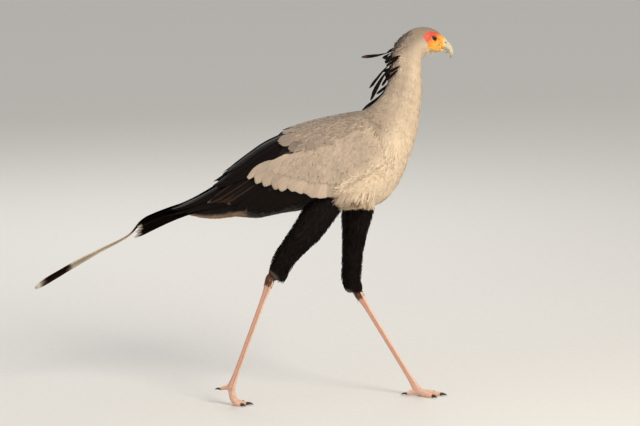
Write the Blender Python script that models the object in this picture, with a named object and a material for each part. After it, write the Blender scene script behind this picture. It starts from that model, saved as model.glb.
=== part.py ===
"""Secretary bird in mid-stride, life size, as a still model.

Metres, +Z up, +X the way the bird walks, +Y its left side. The origin is on the ground,
under the middle of the length from the bill to the tips of the long tail feathers.
Every sub-part is a closed solid of its own, a hair's gap away from its neighbours.
"""
import math
import random

import bmesh
import bpy
from mathutils import Matrix, Vector

# Gap that touching sub-parts keep
GAP = 0.0003

# Points round a section
BODY_SIDES = 20
BILL_SIDES = 12
THIGH_SIDES = 14
SHANK_SIDES = 10
TOE_SIDES = 8
FINE_SIDES = 6

# Trunk sections from the tail root to the shoulders:
# back x, back z, belly x, belly z, half width
TORSO_SECTIONS = (
    (-0.010, 0.591, -0.020, 0.492, 0.050),
    (0.048, 0.638, 0.037, 0.489, 0.068),
    (0.108, 0.692, 0.108, 0.503, 0.081),
    (0.155, 0.722, 0.195, 0.513, 0.088),
    (0.205, 0.742, 0.284, 0.512, 0.089),
    (0.252, 0.758, 0.357, 0.527, 0.086),
    (0.289, 0.769, 0.404, 0.575, 0.081),
    (0.320, 0.782, 0.436, 0.649, 0.072),
    (0.344, 0.802, 0.457, 0.724, 0.060),
)
# The same for the neck
NECK_SECTIONS = (
    (0.344, 0.802, 0.457, 0.724, 0.060),
    (0.365, 0.827, 0.464, 0.782, 0.049),
    (0.378, 0.857, 0.469, 0.833, 0.041),
    (0.384, 0.886, 0.466, 0.875, 0.035),
    (0.387, 0.915, 0.466, 0.904, 0.0325),
)
# The same for the head, from the nape to the front of the cere
HEAD_SECTIONS = (
    (0.387, 0.915, 0.466, 0.904, 0.0325),
    (0.395, 0.942, 0.476, 0.921, 0.032),
    (0.409, 0.964, 0.484, 0.928, 0.032),
    (0.430, 0.984, 0.492, 0.930, 0.032),
    (0.457, 0.994, 0.499, 0.930, 0.030),
    (0.483, 0.993, 0.506, 0.930, 0.025),
    (0.501, 0.986, 0.511, 0.931, 0.0195),
    (0.5165, 0.9735, 0.5145, 0.931, 0.015),
)
# Upper bill: culmen x, z, cutting edge x, z, half width
UPPER_BILL_SECTIONS = (
    (0.5170, 0.9730, 0.5160, 0.9410, 0.0146),
    (0.5265, 0.9645, 0.5260, 0.9395, 0.0122),
    (0.5335, 0.9570, 0.5310, 0.9372, 0.0100),
    (0.5405, 0.9490, 0.5345, 0.9330, 0.0078),
    (0.5455, 0.9385, 0.5375, 0.9275, 0.0056),
    (0.5475, 0.9275, 0.5390, 0.9225, 0.0038),
    (0.5445, 0.9185, 0.5392, 0.9175, 0.0022),
    (0.5400, 0.9125, 0.5388, 0.9122, 0.0008),
)
# Lower bill: cutting edge x, z, keel x, z, half width
LOWER_BILL_SECTIONS = (
    (0.5157, 0.9395, 0.5148, 0.9325, 0.0110),
    (0.5225, 0.9380, 0.5215, 0.9295, 0.0095),
    (0.5290, 0.9355, 0.5275, 0.9265, 0.0072),
    (0.5340, 0.9312, 0.5325, 0.9258, 0.0042),
    (0.5363, 0.9278, 0.5358, 0.9264, 0.0015),
)

# Eye, nostril and gape
EYE_CENTRE = (0.4955, 0.0165, 0.9675)
EYE_RADIUS = 0.0082
EYE_FACING = (0.22, 1.0, 0.05)
LID_RADIUS = 0.0072
LID_THICKNESS = 0.0016
LID_REACH = 0.0048
NOSTRIL_CENTRE = (0.5275, 0.0110, 0.9555)
NOSTRIL_SIZE = (0.0038, 0.0030, 0.0014)
NOSTRIL_SLANT = math.radians(-40)
GAPE_START_X = 0.4930
GAPE_END_X = 0.5175
GAPE_POINTS = 4
GAPE_HEIGHT = 0.9405
GAPE_DROP = 0.0018
GAPE_WIDTH = 0.0012
GAPE_DEPTH = 0.0018

# Folded wing: x, height of the top, height of the lower edge, half width of the pair
WING_SECTIONS = (
    (-0.225, 0.503, 0.486, 0.046),
    (-0.141, 0.553, 0.505, 0.058),
    (-0.075, 0.598, 0.517, 0.068),
    (-0.010, 0.650, 0.512, 0.078),
    (0.048, 0.695, 0.509, 0.089),
    (0.108, 0.726, 0.535, 0.098),
    (0.168, 0.745, 0.552, 0.104),
    (0.226, 0.759, 0.555, 0.105),
    (0.284, 0.770, 0.562, 0.102),
    (0.336, 0.775, 0.600, 0.093),
    (0.385, 0.770, 0.640, 0.078),
)
# Angle round the body, from the top, at which the wing's lower edge lies
WING_EDGE_ANGLE = math.radians(115)
# Body of the wing: x, how far down from the middle of the back its top lies, the height of
# its lower edge, and its depth under the outer surface
WING_CORE = (
    (0.383, 0.100, 0.680, 0.005),
    (0.374, 0.066, 0.650, 0.001),
    (0.336, 0.012, 0.628, 0.0),
    (0.290, 0.0, 0.612, 0.0),
    (0.260, 0.0, 0.588, 0.0005),
    (0.210, 0.0, 0.580, 0.0025),
    (0.150, 0.0, 0.598, 0.0055),
    (0.100, 0.0, 0.612, 0.0065),
    (0.065, 0.0, 0.625, 0.0085),
)
WING_CORE_THICKNESS = 0.024
# The hand, folded in behind the secondaries, from which the primaries grow
WING_HAND = (
    (0.110, 0.070, 0.600, 0.0130),
    (0.060, 0.050, 0.575, 0.0130),
    (0.000, 0.030, 0.555, 0.0130),
    (-0.040, 0.022, 0.548, 0.0130),
)
WING_HAND_THICKNESS = 0.008

# Tiers of vanes on the wing: name, count, width, depth at root, middle and tip, lift of the
# lower edge above the axis, how much deeper each lies than the one above it, then roots and
# tips from the top of the tier to its bottom, as x and height.
WING_TIERS = (
    ("primary", 4, 0.030, (0.0165, 0.0150, 0.0040), 0.0016, 0.0009,
     ((-0.020, 0.622), (-0.020, 0.590), (-0.015, 0.562)),
     ((-0.202, 0.516), (-0.214, 0.505), (-0.155, 0.501))),
    ("secondary", 7, 0.046, (0.0140, 0.0090, 0.0078), 0.0018, 0.0005,
     ((0.085, 0.650), (0.130, 0.622), (0.190, 0.598)),
     ((-0.092, 0.556), (-0.040, 0.527), (0.010, 0.512), (0.055, 0.508), (0.118, 0.536))),
    ("tertial", 3, 0.048, (0.0125, 0.0036, 0.0034), 0.0012, 0.0013,
     ((0.115, 0.722), (0.110, 0.695), (0.100, 0.662)),
     ((-0.042, 0.616), (-0.062, 0.600), (-0.088, 0.573))),
    ("greater_covert", 8, 0.034, (0.0100, 0.0032, 0.0026), 0.0011, 0.0,
     ((0.080, 0.648), (0.135, 0.628), (0.190, 0.610), (0.255, 0.612)),
     ((0.012, 0.622), (0.053, 0.596), (0.098, 0.580), (0.150, 0.570), (0.195, 0.556), (0.250, 0.562))),
    ("scapular", 4, 0.042, (0.0080, 0.0014, 0.0010), 0.0011, 0.0,
     ((0.175, 0.744), (0.175, 0.728), (0.185, 0.712), (0.225, 0.708)),
     ((0.108, 0.710), (0.087, 0.692), (0.112, 0.674), (0.165, 0.685))),
)
VANE_THICKNESS = 0.0009
# Stations along a vane, and its share of the full width at each
VANE_STATIONS = (0.0, 0.38, 0.76, 0.93, 1.0)
ROUND_TIP = (0.62, 1.00, 0.94, 0.62, 0.24)
SPOON_TIP = (0.24, 0.36, 1.00, 0.80, 0.30)
# How far the tips of neighbouring vanes may step out of line
TIP_WANDER = 0.003

# Tail: sections of the coverts round its root, then the fan of shorter feathers
TAIL_CORE_SECTIONS = (
    (-0.0104, 0.5905, -0.0204, 0.4920, 0.0496),
    (-0.055, 0.566, -0.062, 0.4870, 0.040),
    (-0.105, 0.540, -0.108, 0.4885, 0.029),
    (-0.150, 0.518, -0.150, 0.4980, 0.016),
)
TAIL_PAIRS = 5
# Path of the uppermost pair, x and z, and how far each next pair lies below it, along the path
RECTRIX_PATH = ((-0.095, 0.5340), (-0.165, 0.5160), (-0.232, 0.4910), (-0.277, 0.4690))
RECTRIX_STEPS_DOWN = (0.0030, 0.0034, 0.0046, 0.0060)
RECTRIX_FIRST_OUT = 0.0140
RECTRIX_STEP_OUT = 0.0045
RECTRIX_SPREAD = (0.70, 1.00, 1.10, 1.25)
RECTRIX_WIDTH = 0.027
RECTRIX_LEAN = 0.33
CENTRAL_TAIL_PATH = (
    (-0.090, 0.5405), (-0.165, 0.5230), (-0.235, 0.4975), (-0.270, 0.4785), (-0.305, 0.4420),
    (-0.380, 0.4020), (-0.455, 0.3605), (-0.5485, 0.3030))
CENTRAL_STATIONS = (0.0, 0.14, 0.28, 0.41, 0.50, 0.58, 0.72, 0.86, 0.96, 1.0)
CENTRAL_SHARES = (0.55, 0.85, 0.95, 0.95, 0.95, 0.95, 1.0, 1.0, 0.70, 0.22)
CENTRAL_TAIL_WIDTH = 0.034
# The left one lies above the right one and ends short of it
CENTRAL_TAIL_OUT = 0.005
CENTRAL_TAIL_GAP = 0.0024
CENTRAL_TAIL_SHORTER = 0.012

# Right leg, a stride behind the left: thigh axis x and z, half depth, half width
RIGHT_THIGH = (
    (0.2286, 0.553, 0.043, 0.028),
    (0.1940, 0.504, 0.043, 0.033),
    (0.1690, 0.468, 0.041, 0.032),
    (0.1500, 0.4450, 0.037, 0.030),
    (0.1290, 0.4195, 0.033, 0.027),
    (0.1100, 0.3950, 0.030, 0.024),
    (0.0970, 0.3700, 0.027, 0.021),
    (0.0890, 0.3500, 0.022, 0.018),
    (0.0850, 0.3370, 0.015, 0.014),
)
LEFT_THIGH = (
    (0.3070, 0.540, 0.042, 0.028),
    (0.2970, 0.490, 0.042, 0.033),
    (0.2930, 0.462, 0.038, 0.031),
    (0.2900, 0.4347, 0.033, 0.028),
    (0.2862, 0.3945, 0.029, 0.025),
    (0.2836, 0.3544, 0.027, 0.023),
    (0.2818, 0.3145, 0.025, 0.022),
    (0.2860, 0.2950, 0.019, 0.018),
    (0.2900, 0.2860, 0.013, 0.014),
)
HIP_SIDE = 0.050
HOCK_SIDE = 0.056
LEFT_FOOT_SIDE = 0.066
RIGHT_FOOT_SIDE = 0.054

# Hock and toe joint of each leg, x and z
RIGHT_HOCK = (0.0714, 0.3400)
RIGHT_TOE_JOINT = (-0.0334, 0.0478)
LEFT_HOCK = (0.2967, 0.2850)
LEFT_TOE_JOINT = (0.4566, 0.0175)
SHANK_DEPTH = 0.0072
SHANK_WIDTH = 0.0062
HOCK_DEPTH = 0.0115
HOCK_WIDTH = 0.0100
ANKLE_DEPTH = 0.0098
ANKLE_WIDTH = 0.0100

# Width of a crest feather's spoon-shaped end, and its thickness
CREST_SPOON = 0.0125
CREST_THICKNESS = 0.0008
# How far the crest feathers turn their flat faces out to their own side
CREST_ROLL = math.radians(50)
# Crest feathers: x and z of the root, lean down from straight back in degrees, length,
# rise of the middle above the straight line, side step
CREST_FEATHERS = (
    (0.399, 0.938, 14, 0.100, 0.008, 0.000),
    (0.396, 0.930, 40, 0.062, 0.004, -0.010),
    (0.396, 0.930, 34, 0.056, 0.006, 0.010),
    (0.392, 0.920, 62, 0.070, 0.000, -0.014),
    (0.391, 0.919, 30, 0.060, 0.010, 0.012),
    (0.389, 0.910, 52, 0.088, 0.002, -0.006),
    (0.388, 0.906, 50, 0.080, 0.004, 0.006),
    (0.388, 0.900, 57, 0.104, 0.004, -0.016),
    (0.387, 0.898, 56, 0.098, 0.004, 0.015),
    (0.387, 0.888, 60, 0.080, 0.000, -0.009),
    (0.386, 0.886, 61, 0.084, 0.000, 0.009),
    (0.383, 0.872, 52, 0.074, -0.004, -0.004),
    (0.381, 0.864, 50, 0.082, -0.006, 0.004),
)
# Strip of roots down the nape: x, z, half depth, half width
CREST_BASE = (
    (0.398, 0.941, 0.0040, 0.010),
    (0.3895, 0.920, 0.0050, 0.016),
    (0.3870, 0.897, 0.0050, 0.018),
    (0.3820, 0.872, 0.0045, 0.013),
    (0.3780, 0.858, 0.0030, 0.006),
)

# Toes, inner to outer: degrees off straight ahead, and length
TOE_SPREAD = (-33, 0, 31)
TOE_LENGTHS = (0.047, 0.060, 0.046)
# Share of the toe's length and height of its axis, on the foot that stands flat and on the
# one that pushes off
FLAT_TOE = ((0.0, 0.0145), (0.30, 0.0090), (0.60, 0.0062), (0.85, 0.0047), (1.0, 0.0047))
PUSHING_TOE = ((0.0, 0.0460), (0.05, 0.0290), (0.18, 0.0130), (0.45, 0.0047), (0.65, 0.0047))
# Half depth and half width along a front toe and along the hind toe
TOE_SIZES = (
    (0.0095, 0.0085), (0.0082, 0.0080), (0.0078, 0.0076), (0.0068, 0.0070), (0.0058, 0.0055))
HIND_TOE_SIZES = ((0.0085, 0.0080), (0.0066, 0.0062), (0.0054, 0.0050), (0.0046, 0.0044))
HIND_TOE_REACH = (0.0, 0.013, 0.022, 0.028)
PUSHING_HIND_TOE_RISE = 0.004
FOOT_RADIUS = 0.0108
# Claw: how far along it, how far up in its own sizes, and its share of the full size
CLAW_SHAPE = (
    (0.0, 0.0, 1.0), (0.12, 0.0, 1.0), (0.40, 0.16, 0.86), (0.72, -0.12, 0.56), (1.0, -0.72, 0.12))
CLAW_LENGTH = 0.019
CLAW_SIZE = 0.0042
HIND_CLAW_LENGTH = 0.016
HIND_CLAW_SIZE = 0.0034

COLOURS = {
    "pale grey plumage": ((0.52, 0.46, 0.40), 0.75),
    "black plumage": ((0.020, 0.016, 0.015), 0.65),
    "grey neck plumage": ((0.58, 0.50, 0.42), 0.75),
    "grey head plumage": ((0.50, 0.46, 0.40), 0.75),
    "tail plumage": ((0.12, 0.11, 0.10), 0.70),
    "bill horn": ((0.78, 0.70, 0.55), 0.40),
    "eye": ((0.030, 0.015, 0.008), 0.10),
    "leg skin": ((0.75, 0.47, 0.36), 0.60),
    "claw horn": ((0.030, 0.025, 0.022), 0.40),
}


def clear_scene():
    """Remove everything that the file opened with."""
    for found in list(bpy.data.objects):
        bpy.data.objects.remove(found, do_unlink=True)


def make_collections():
    """One collection for the bird, one for what cuts it."""
    bird = bpy.data.collections.new("secretary_bird")
    cutters = bpy.data.collections.new("cutters")
    for collection in (bird, cutters):
        bpy.context.scene.collection.children.link(collection)
    return bird, cutters


def make_materials():
    """A Principled material for each kind of surface."""
    made = {}
    for name, (colour, roughness) in COLOURS.items():
        material = bpy.data.materials.new(name)
        material.use_nodes = True
        shader = material.node_tree.nodes["Principled BSDF"]
        shader.inputs["Base Color"].default_value = (*colour, 1.0)
        shader.inputs["Roughness"].default_value = roughness
        shader.inputs["Metallic"].default_value = 0.0
        made[name] = material
    return made


def between(keys, t):
    """Point at t, from 0 to 1, on a smooth curve through rows of numbers."""
    last = len(keys) - 1
    place = min(max(t, 0.0), 1.0) * last
    i = min(int(place), last - 1)
    f = place - i
    before = keys[max(i - 1, 0)]
    after = keys[min(i + 2, last)]
    row = []
    for a, b, c, d in zip(before, keys[i], keys[i + 1], after):
        slope_b = (c - a) / 2 if i > 0 else c - b
        slope_c = (d - b) / 2 if i + 2 <= last else c - b
        curve = (2 * f**3 - 3 * f**2 + 1) * b + (f**3 - 2 * f**2 + f) * slope_b
        curve += (3 * f**2 - 2 * f**3) * c + (f**3 - f**2) * slope_c
        row.append(curve)
    return row


def at_x(keys, x):
    """Row of a table sorted by x, read at x along straight lines."""
    rows = sorted(keys)
    x = min(max(x, rows[0][0]), rows[-1][0])
    for low, high in zip(rows, rows[1:]):
        if x <= high[0]:
            f = (x - low[0]) / (high[0] - low[0])
            return [a + (b - a) * f for a, b in zip(low, high)]
    return list(rows[-1])


def add_object(name, mesh, collection, material=None):
    """Link a mesh to the scene as a named object."""
    made = bpy.data.objects.new(name, mesh)
    collection.objects.link(made)
    if material is not None:
        mesh.materials.clear()
        mesh.materials.append(material)
    return made


def mesh_from(name, points, faces):
    """Closed mesh of triangles with its faces pointing out."""
    mesh = bpy.data.meshes.new(name)
    mesh.from_pydata([tuple(p) for p in points], [], faces)
    shape = bmesh.new()
    shape.from_mesh(mesh)
    bmesh.ops.recalc_face_normals(shape, faces=shape.faces)
    bmesh.ops.triangulate(shape, faces=[f for f in shape.faces if len(f.verts) > 3])
    shape.to_mesh(mesh)
    shape.free()
    return mesh


def loft(name, rings):
    """Closed skin over rings of equal count, with a flat face at each end."""
    sides = len(rings[0])
    points = [p for ring in rings for p in ring]
    faces = []
    for r in range(len(rings) - 1):
        for s in range(sides):
            a = r * sides + s
            b = r * sides + (s + 1) % sides
            faces.append((a, b, b + sides, a + sides))
    faces.append(tuple(range(sides)))
    faces.append(tuple(range(len(points) - sides, len(points))))
    return mesh_from(name, points, faces)


def oval_ring(centre, up, side, sides, power=2.0):
    """Ring of points on an oval, squarer as its power grows."""
    ring = []
    for s in range(sides):
        angle = 2 * math.pi * s / sides
        c = math.copysign(abs(math.cos(angle)) ** (2 / power), math.cos(angle))
        d = math.copysign(abs(math.sin(angle)) ** (2 / power), math.sin(angle))
        ring.append(centre + up * c + side * d)
    return ring


def spine_loft(name, sections, steps, sides=BODY_SIDES, power=2.15):
    """Skin over body sections, each given by its back, its belly and its half width."""
    rings = []
    for i in range(steps + 1):
        bx, bz, vx, vz, half = between(sections, i / steps)
        back = Vector((bx, 0, bz))
        belly = Vector((vx, 0, vz))
        ring = oval_ring((back + belly) / 2, (back - belly) / 2, Vector((0, half, 0)), sides, power)
        rings.append(ring)
    return loft(name, rings)


def limb_loft(name, path, steps, sides=TOE_SIDES):
    """Skin along a limb: rows of x, y, z, half depth and half width."""
    rings = []
    for i in range(steps + 1):
        t = i / steps
        x, y, z, depth, width = between(path, t)
        ahead = Vector(between(path, min(t + 0.02, 1.0))[:3])
        behind = Vector(between(path, max(t - 0.02, 0.0))[:3])
        along = (ahead - behind).normalized()
        side = Vector((0, 1, 0))
        side = (side - along * side.dot(along)).normalized()
        front = along.cross(side)
        rings.append(oval_ring(Vector((x, y, z)), front * depth, side * width, sides))
    return loft(name, rings)


def apply_modifiers(item):
    """Turn an object's evaluated shape into its mesh."""
    graph = bpy.context.evaluated_depsgraph_get()
    mesh = bpy.data.meshes.new_from_object(item.evaluated_get(graph))
    item.modifiers.clear()
    item.data = mesh


def clean(item, merge=0.000002):
    """Weld points that a cut left together, then keep only the largest closed surface."""
    shape = bmesh.new()
    shape.from_mesh(item.data)
    bmesh.ops.remove_doubles(shape, verts=shape.verts, dist=merge)
    bmesh.ops.dissolve_degenerate(shape, edges=shape.edges, dist=merge)
    bmesh.ops.triangulate(shape, faces=shape.faces)
    left = set(shape.faces)
    surfaces = []
    while left:
        stack = [left.pop()]
        surface = set(stack)
        while stack:
            for edge in stack.pop().edges:
                for face in edge.link_faces:
                    if face in left:
                        left.discard(face)
                        surface.add(face)
                        stack.append(face)
        surfaces.append(surface)
    surfaces.sort(key=lambda faces: sum(f.calc_area() for f in faces))
    scraps = [f for surface in surfaces[:-1] for f in surface]
    bmesh.ops.delete(shape, geom=scraps, context="FACES")
    loose = [v for v in shape.verts if not v.link_faces]
    bmesh.ops.delete(shape, geom=loose, context="VERTS")
    bmesh.ops.recalc_face_normals(shape, faces=shape.faces)
    shape.to_mesh(item.data)
    shape.free()


def is_closed(item):
    """Whether every edge of an object has a face on both sides."""
    shape = bmesh.new()
    shape.from_mesh(item.data)
    closed = all(len(edge.link_faces) == 2 for edge in shape.edges)
    shape.free()
    return closed


def boolean(item, others, operation, cutters):
    """Join or cut an object with others, which go away afterwards."""
    group = bpy.data.collections.new("operands")
    cutters.children.link(group)
    for other in others:
        for home in list(other.users_collection):
            home.objects.unlink(other)
        group.objects.link(other)
        other.hide_render = True
        other.display_type = "WIRE"
    before = item.data
    for solver in ("EXACT", "MANIFOLD"):
        item.data = before
        modifier = item.modifiers.new(operation.lower(), "BOOLEAN")
        modifier.operation = operation
        modifier.solver = solver
        modifier.operand_type = "COLLECTION"
        modifier.collection = group
        apply_modifiers(item)
        clean(item)
        if is_closed(item):
            break
    for other in list(group.objects):
        bpy.data.objects.remove(other, do_unlink=True)
    bpy.data.collections.remove(group)


def swollen(item, cutters, by=GAP):
    """Copy of an object grown by a gap, to cut its neighbours with."""
    shape = bmesh.new()
    shape.from_mesh(item.data)
    shape.normal_update()
    moves = [(v, v.normal * by * v.calc_shell_factor()) for v in shape.verts]
    for v, move in moves:
        v.co += move
    mesh = bpy.data.meshes.new(item.name + "_cutter")
    shape.to_mesh(mesh)
    shape.free()
    return add_object(mesh.name, mesh, cutters)


def slice_off(item, point, direction):
    """Cut an object flat at a plane and close it, losing what the direction points at."""
    shape = bmesh.new()
    shape.from_mesh(item.data)
    geometry = shape.verts[:] + shape.edges[:] + shape.faces[:]
    cut = bmesh.ops.bisect_plane(
        shape, geom=geometry, dist=0.000001, plane_co=point, plane_no=direction, clear_outer=True)
    rim = [e for e in cut["geom_cut"] if isinstance(e, bmesh.types.BMEdge)]
    bmesh.ops.holes_fill(shape, edges=rim, sides=0)
    shape.to_mesh(item.data)
    shape.free()
    clean(item)


def mirrored(item, name, collection):
    """Copy of an object on the other side of the body."""
    shape = bmesh.new()
    shape.from_mesh(item.data)
    bmesh.ops.transform(shape, matrix=Matrix.Scale(-1, 4, (0, 1, 0)), verts=shape.verts)
    bmesh.ops.reverse_faces(shape, faces=shape.faces)
    mesh = bpy.data.meshes.new(name)
    shape.to_mesh(mesh)
    shape.free()
    mesh.materials.append(item.data.materials[0])
    return add_object(name, mesh, collection)


def vane(name, outer_rows, inner_rows):
    """Closed vane between two sheets of points, split into triangles alike on both."""
    stations = len(outer_rows)
    across = len(outer_rows[0])
    points = [p for row in outer_rows for p in row] + [p for row in inner_rows for p in row]
    under = stations * across
    faces = []
    for r in range(stations - 1):
        for s in range(across - 1):
            a = r * across + s
            b = a + 1
            c = b + across
            d = a + across
            for corners in ((a, b, c), (a, c, d)):
                faces.append(corners)
                faces.append(tuple(under + k for k in reversed(corners)))
    rim = [r * across for r in range(stations)]
    rim += [(stations - 1) * across + s for s in range(1, across)]
    rim += [r * across + across - 1 for r in range(stations - 2, -1, -1)]
    rim += [s for s in range(across - 2, 0, -1)]
    for a, b in zip(rim, rim[1:] + rim[:1]):
        faces.append((a, b, under + b))
        faces.append((a, under + b, under + a))
    return mesh_from(name, points, faces)


def wing_section(x):
    """Centre height, half height and half width of the folded wings at x."""
    _, top, edge, half = at_x(WING_SECTIONS, x)
    tall = (top - edge) / (1 - math.cos(WING_EDGE_ANGLE))
    return top - tall, tall, half


def flank(x, down, depth):
    """Point of the right wing: down is the way round the body from the top, in metres."""
    centre, tall, half = wing_section(x)
    angle = down * 2 / (tall + half)
    y = -(half - depth) * math.sin(angle)
    z = centre + (tall - depth) * math.cos(angle)
    return Vector((x, y, z))


def way_down(x, height):
    """How far round the body a height on the wing's outer surface lies."""
    centre, tall, half = wing_section(x)
    cosine = min(max((height - centre) / tall, -1.0), 1.0)
    return math.acos(cosine) * (tall + half) / 2


def wing_vane(name, root, tip, width, depths, lift):
    """Feather on the wing's surface, its lower edge lying over the next one down."""
    start = Vector((root[0], way_down(*root)))
    end = Vector((tip[0], way_down(*tip)))
    along = (end - start).normalized()
    across = Vector((-along.y, along.x))
    if across.y < 0:
        across = -across
    outer_rows = []
    inner_rows = []
    for t, share in zip(VANE_STATIONS, ROUND_TIP):
        axis = start.lerp(end, t)
        depth = at_x(list(zip((0.0, 0.5, 1.0), depths)), t)[1]
        outer = []
        inner = []
        for side in (-1, 1):
            spot = axis + across * side * width * share / 2
            high = depth - lift * side * share
            outer.append(flank(spot.x, max(spot.y, 0.001), high))
            inner.append(flank(spot.x, max(spot.y, 0.001), high + VANE_THICKNESS))
        outer_rows.append(outer)
        inner_rows.append(inner)
    return vane(name, outer_rows, inner_rows)


def wing_body_mesh(name, rows, thickness, steps, arc):
    """Slab along the wing's surface, given by rows of x, top, lower edge and depth."""
    rings = []
    for i in range(steps + 1):
        x, high, edge, depth = between(rows, i / steps)
        high = max(high, 0.0)
        low = way_down(x, edge)
        ring = [flank(x, high + (low - high) * s / arc, depth) for s in range(arc + 1)]
        ring += [flank(x, low + (high - low) * s / arc, depth + thickness) for s in range(arc + 1)]
        rings.append(ring)
    return loft(name, rings)


def make_wings(bird, cutters, materials):
    """Right wing, of its body and its tiers of vanes, and the left one as its mirror image."""
    core = wing_body_mesh("wing_core", WING_CORE, WING_CORE_THICKNESS, 10, 5)
    wing = add_object("wing_right", core, bird, materials["pale grey plumage"])
    hand = wing_body_mesh("wing_hand", WING_HAND, WING_HAND_THICKNESS, 3, 2)
    chooser = random.Random(7)
    pieces = [add_object("wing_hand", hand, cutters)]
    for tier, count, width, depths, lift, deeper, roots, tips in WING_TIERS:
        for i in range(count):
            f = i / (count - 1)
            root = between(roots, f)
            tip = between(tips, f)
            tip[0] += chooser.uniform(-TIP_WANDER, TIP_WANDER)
            sunk = [depth + deeper * i for depth in depths]
            mesh = wing_vane(f"{tier}_{i}", root, tip, width, sunk, lift)
            pieces.append(add_object(mesh.name, mesh, cutters))
    boolean(wing, pieces, "UNION", cutters)
    return mirrored(wing, "wing_left", bird), wing


def fit_wing(wing, side, neighbours, cutters):
    """Cut a wing clear of what it lies on, and of the other wing at the middle of the back."""
    boolean(wing, [swollen(n, cutters) for n in neighbours], "DIFFERENCE", cutters)
    slice_off(wing, Vector((0, side * GAP / 2, 0)), Vector((0, -side, 0)))


def free_vane(name, path, width, stations, shares, thickness, side):
    """Feather along a path of points, flat across the given side direction."""
    outer_rows = []
    inner_rows = []
    for t, share in zip(stations, shares):
        spot = Vector(between(path, t))
        ahead = Vector(between(path, min(t + 0.03, 1.0)))
        behind = Vector(between(path, max(t - 0.03, 0.0)))
        along = (ahead - behind).normalized()
        flat = (side - along * side.dot(along)).normalized()
        normal = along.cross(flat)
        if normal.z < 0:
            normal = -normal
        half = width * share / 2
        edges = (spot - flat * half, spot + flat * half)
        outer_rows.append([edge + normal * thickness / 2 for edge in edges])
        inner_rows.append([edge - normal * thickness / 2 for edge in edges])
    return vane(name, outer_rows, inner_rows)


def make_tail(bird, cutters, materials):
    """Tail: coverts round its root, a folded fan, and the two long central feathers."""
    core = spine_loft("tail", TAIL_CORE_SECTIONS, 6)
    tail = add_object("tail", core, bird, materials["tail plumage"])
    pieces = []
    for pair in range(TAIL_PAIRS):
        for side in (-1, 1):
            out = side * (RECTRIX_FIRST_OUT + RECTRIX_STEP_OUT * pair)
            path = []
            for (x, z), step, spread in zip(RECTRIX_PATH, RECTRIX_STEPS_DOWN, RECTRIX_SPREAD):
                path.append((x + 0.002 * side, out * spread, z - step * pair))
            lean = Vector((0, 1, -RECTRIX_LEAN * side))
            mesh = free_vane(
                f"rectrix_{pair}_{side}", path, RECTRIX_WIDTH, VANE_STATIONS, ROUND_TIP,
                VANE_THICKNESS, lean)
            pieces.append(add_object(mesh.name, mesh, cutters))
    for side in (-1, 1):
        raised = CENTRAL_TAIL_GAP if side > 0 else 0.0
        path = [(x, side * CENTRAL_TAIL_OUT, z + raised) for x, z in CENTRAL_TAIL_PATH]
        if side > 0:
            path[-1] = (path[-1][0] + CENTRAL_TAIL_SHORTER, path[-1][1], path[-1][2] + raised)
        mesh = free_vane(
            f"central_{side}", path, CENTRAL_TAIL_WIDTH, CENTRAL_STATIONS, CENTRAL_SHARES,
            VANE_THICKNESS, Vector((0, 1, 0)))
        pieces.append(add_object(mesh.name, mesh, cutters))
    boolean(tail, pieces, "UNION", cutters)
    return tail


def make_trunk(bird, materials):
    """Torso and neck, lofted as one run and parted at the base of the neck."""
    torso = spine_loft("torso", TORSO_SECTIONS, 18)
    torso = add_object("torso", torso, bird, materials["pale grey plumage"])
    neck = spine_loft("neck", NECK_SECTIONS, 8)
    neck = add_object("neck", neck, bird, materials["grey neck plumage"])
    back_x, back_z, front_x, front_z, _ = NECK_SECTIONS[0]
    down = Vector((back_z - front_z, 0, front_x - back_x)).normalized()
    if down.z > 0:
        down = -down
    slice_off(neck, Vector((back_x, 0, back_z)) - down * GAP, down)
    return torso, neck


def make_head(bird, cutters, materials):
    """Head with its lids, brows, gape and eye sockets."""
    head = spine_loft("head", HEAD_SECTIONS, 12)
    head = add_object("head", head, bird, materials["grey head plumage"])
    nape_x, nape_z, throat_x, throat_z, _ = HEAD_SECTIONS[0]
    down = Vector((throat_z - nape_z, 0, nape_x - throat_x)).normalized()
    slice_off(head, Vector((nape_x, 0, nape_z + GAP)), down)
    lids = []
    hollows = []
    x, y, z = EYE_CENTRE
    for side in (-1, 1):
        centre = Vector((x, side * y, z))
        outward = Vector((EYE_FACING[0], side * EYE_FACING[1], EYE_FACING[2])).normalized()
        turn = outward.to_track_quat("Z", "Y").to_matrix().to_4x4()
        bpy.ops.mesh.primitive_torus_add(
            major_segments=14, minor_segments=5, major_radius=LID_RADIUS, minor_radius=LID_THICKNESS)
        lid = bpy.context.object
        lid.data.transform(Matrix.Translation(centre + outward * LID_REACH) @ turn)
        lids.append(lid)
        hollows.append(ball(EYE_RADIUS + GAP, centre, cutters, "socket", 12))
        hollows.append(add_object("gape", gape_mesh(side), cutters))
    boolean(head, lids, "UNION", cutters)
    boolean(head, hollows, "DIFFERENCE", cutters)
    return head


def gape_mesh(side):
    """Groove that carries the line of the mouth from the bill back under the eye."""
    widths = [((back + front), half) for back, _, front, _, half in HEAD_SECTIONS]
    path = []
    for i in range(GAPE_POINTS):
        f = i / (GAPE_POINTS - 1)
        x = GAPE_START_X + (GAPE_END_X - GAPE_START_X) * f
        half = at_x(widths, x * 2)[1]
        height = GAPE_HEIGHT - GAPE_DROP * f
        path.append((x, side * (half + GAPE_WIDTH / 2), height, GAPE_WIDTH, GAPE_DEPTH))
    return limb_loft("gape", path, 4, FINE_SIDES)


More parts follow.
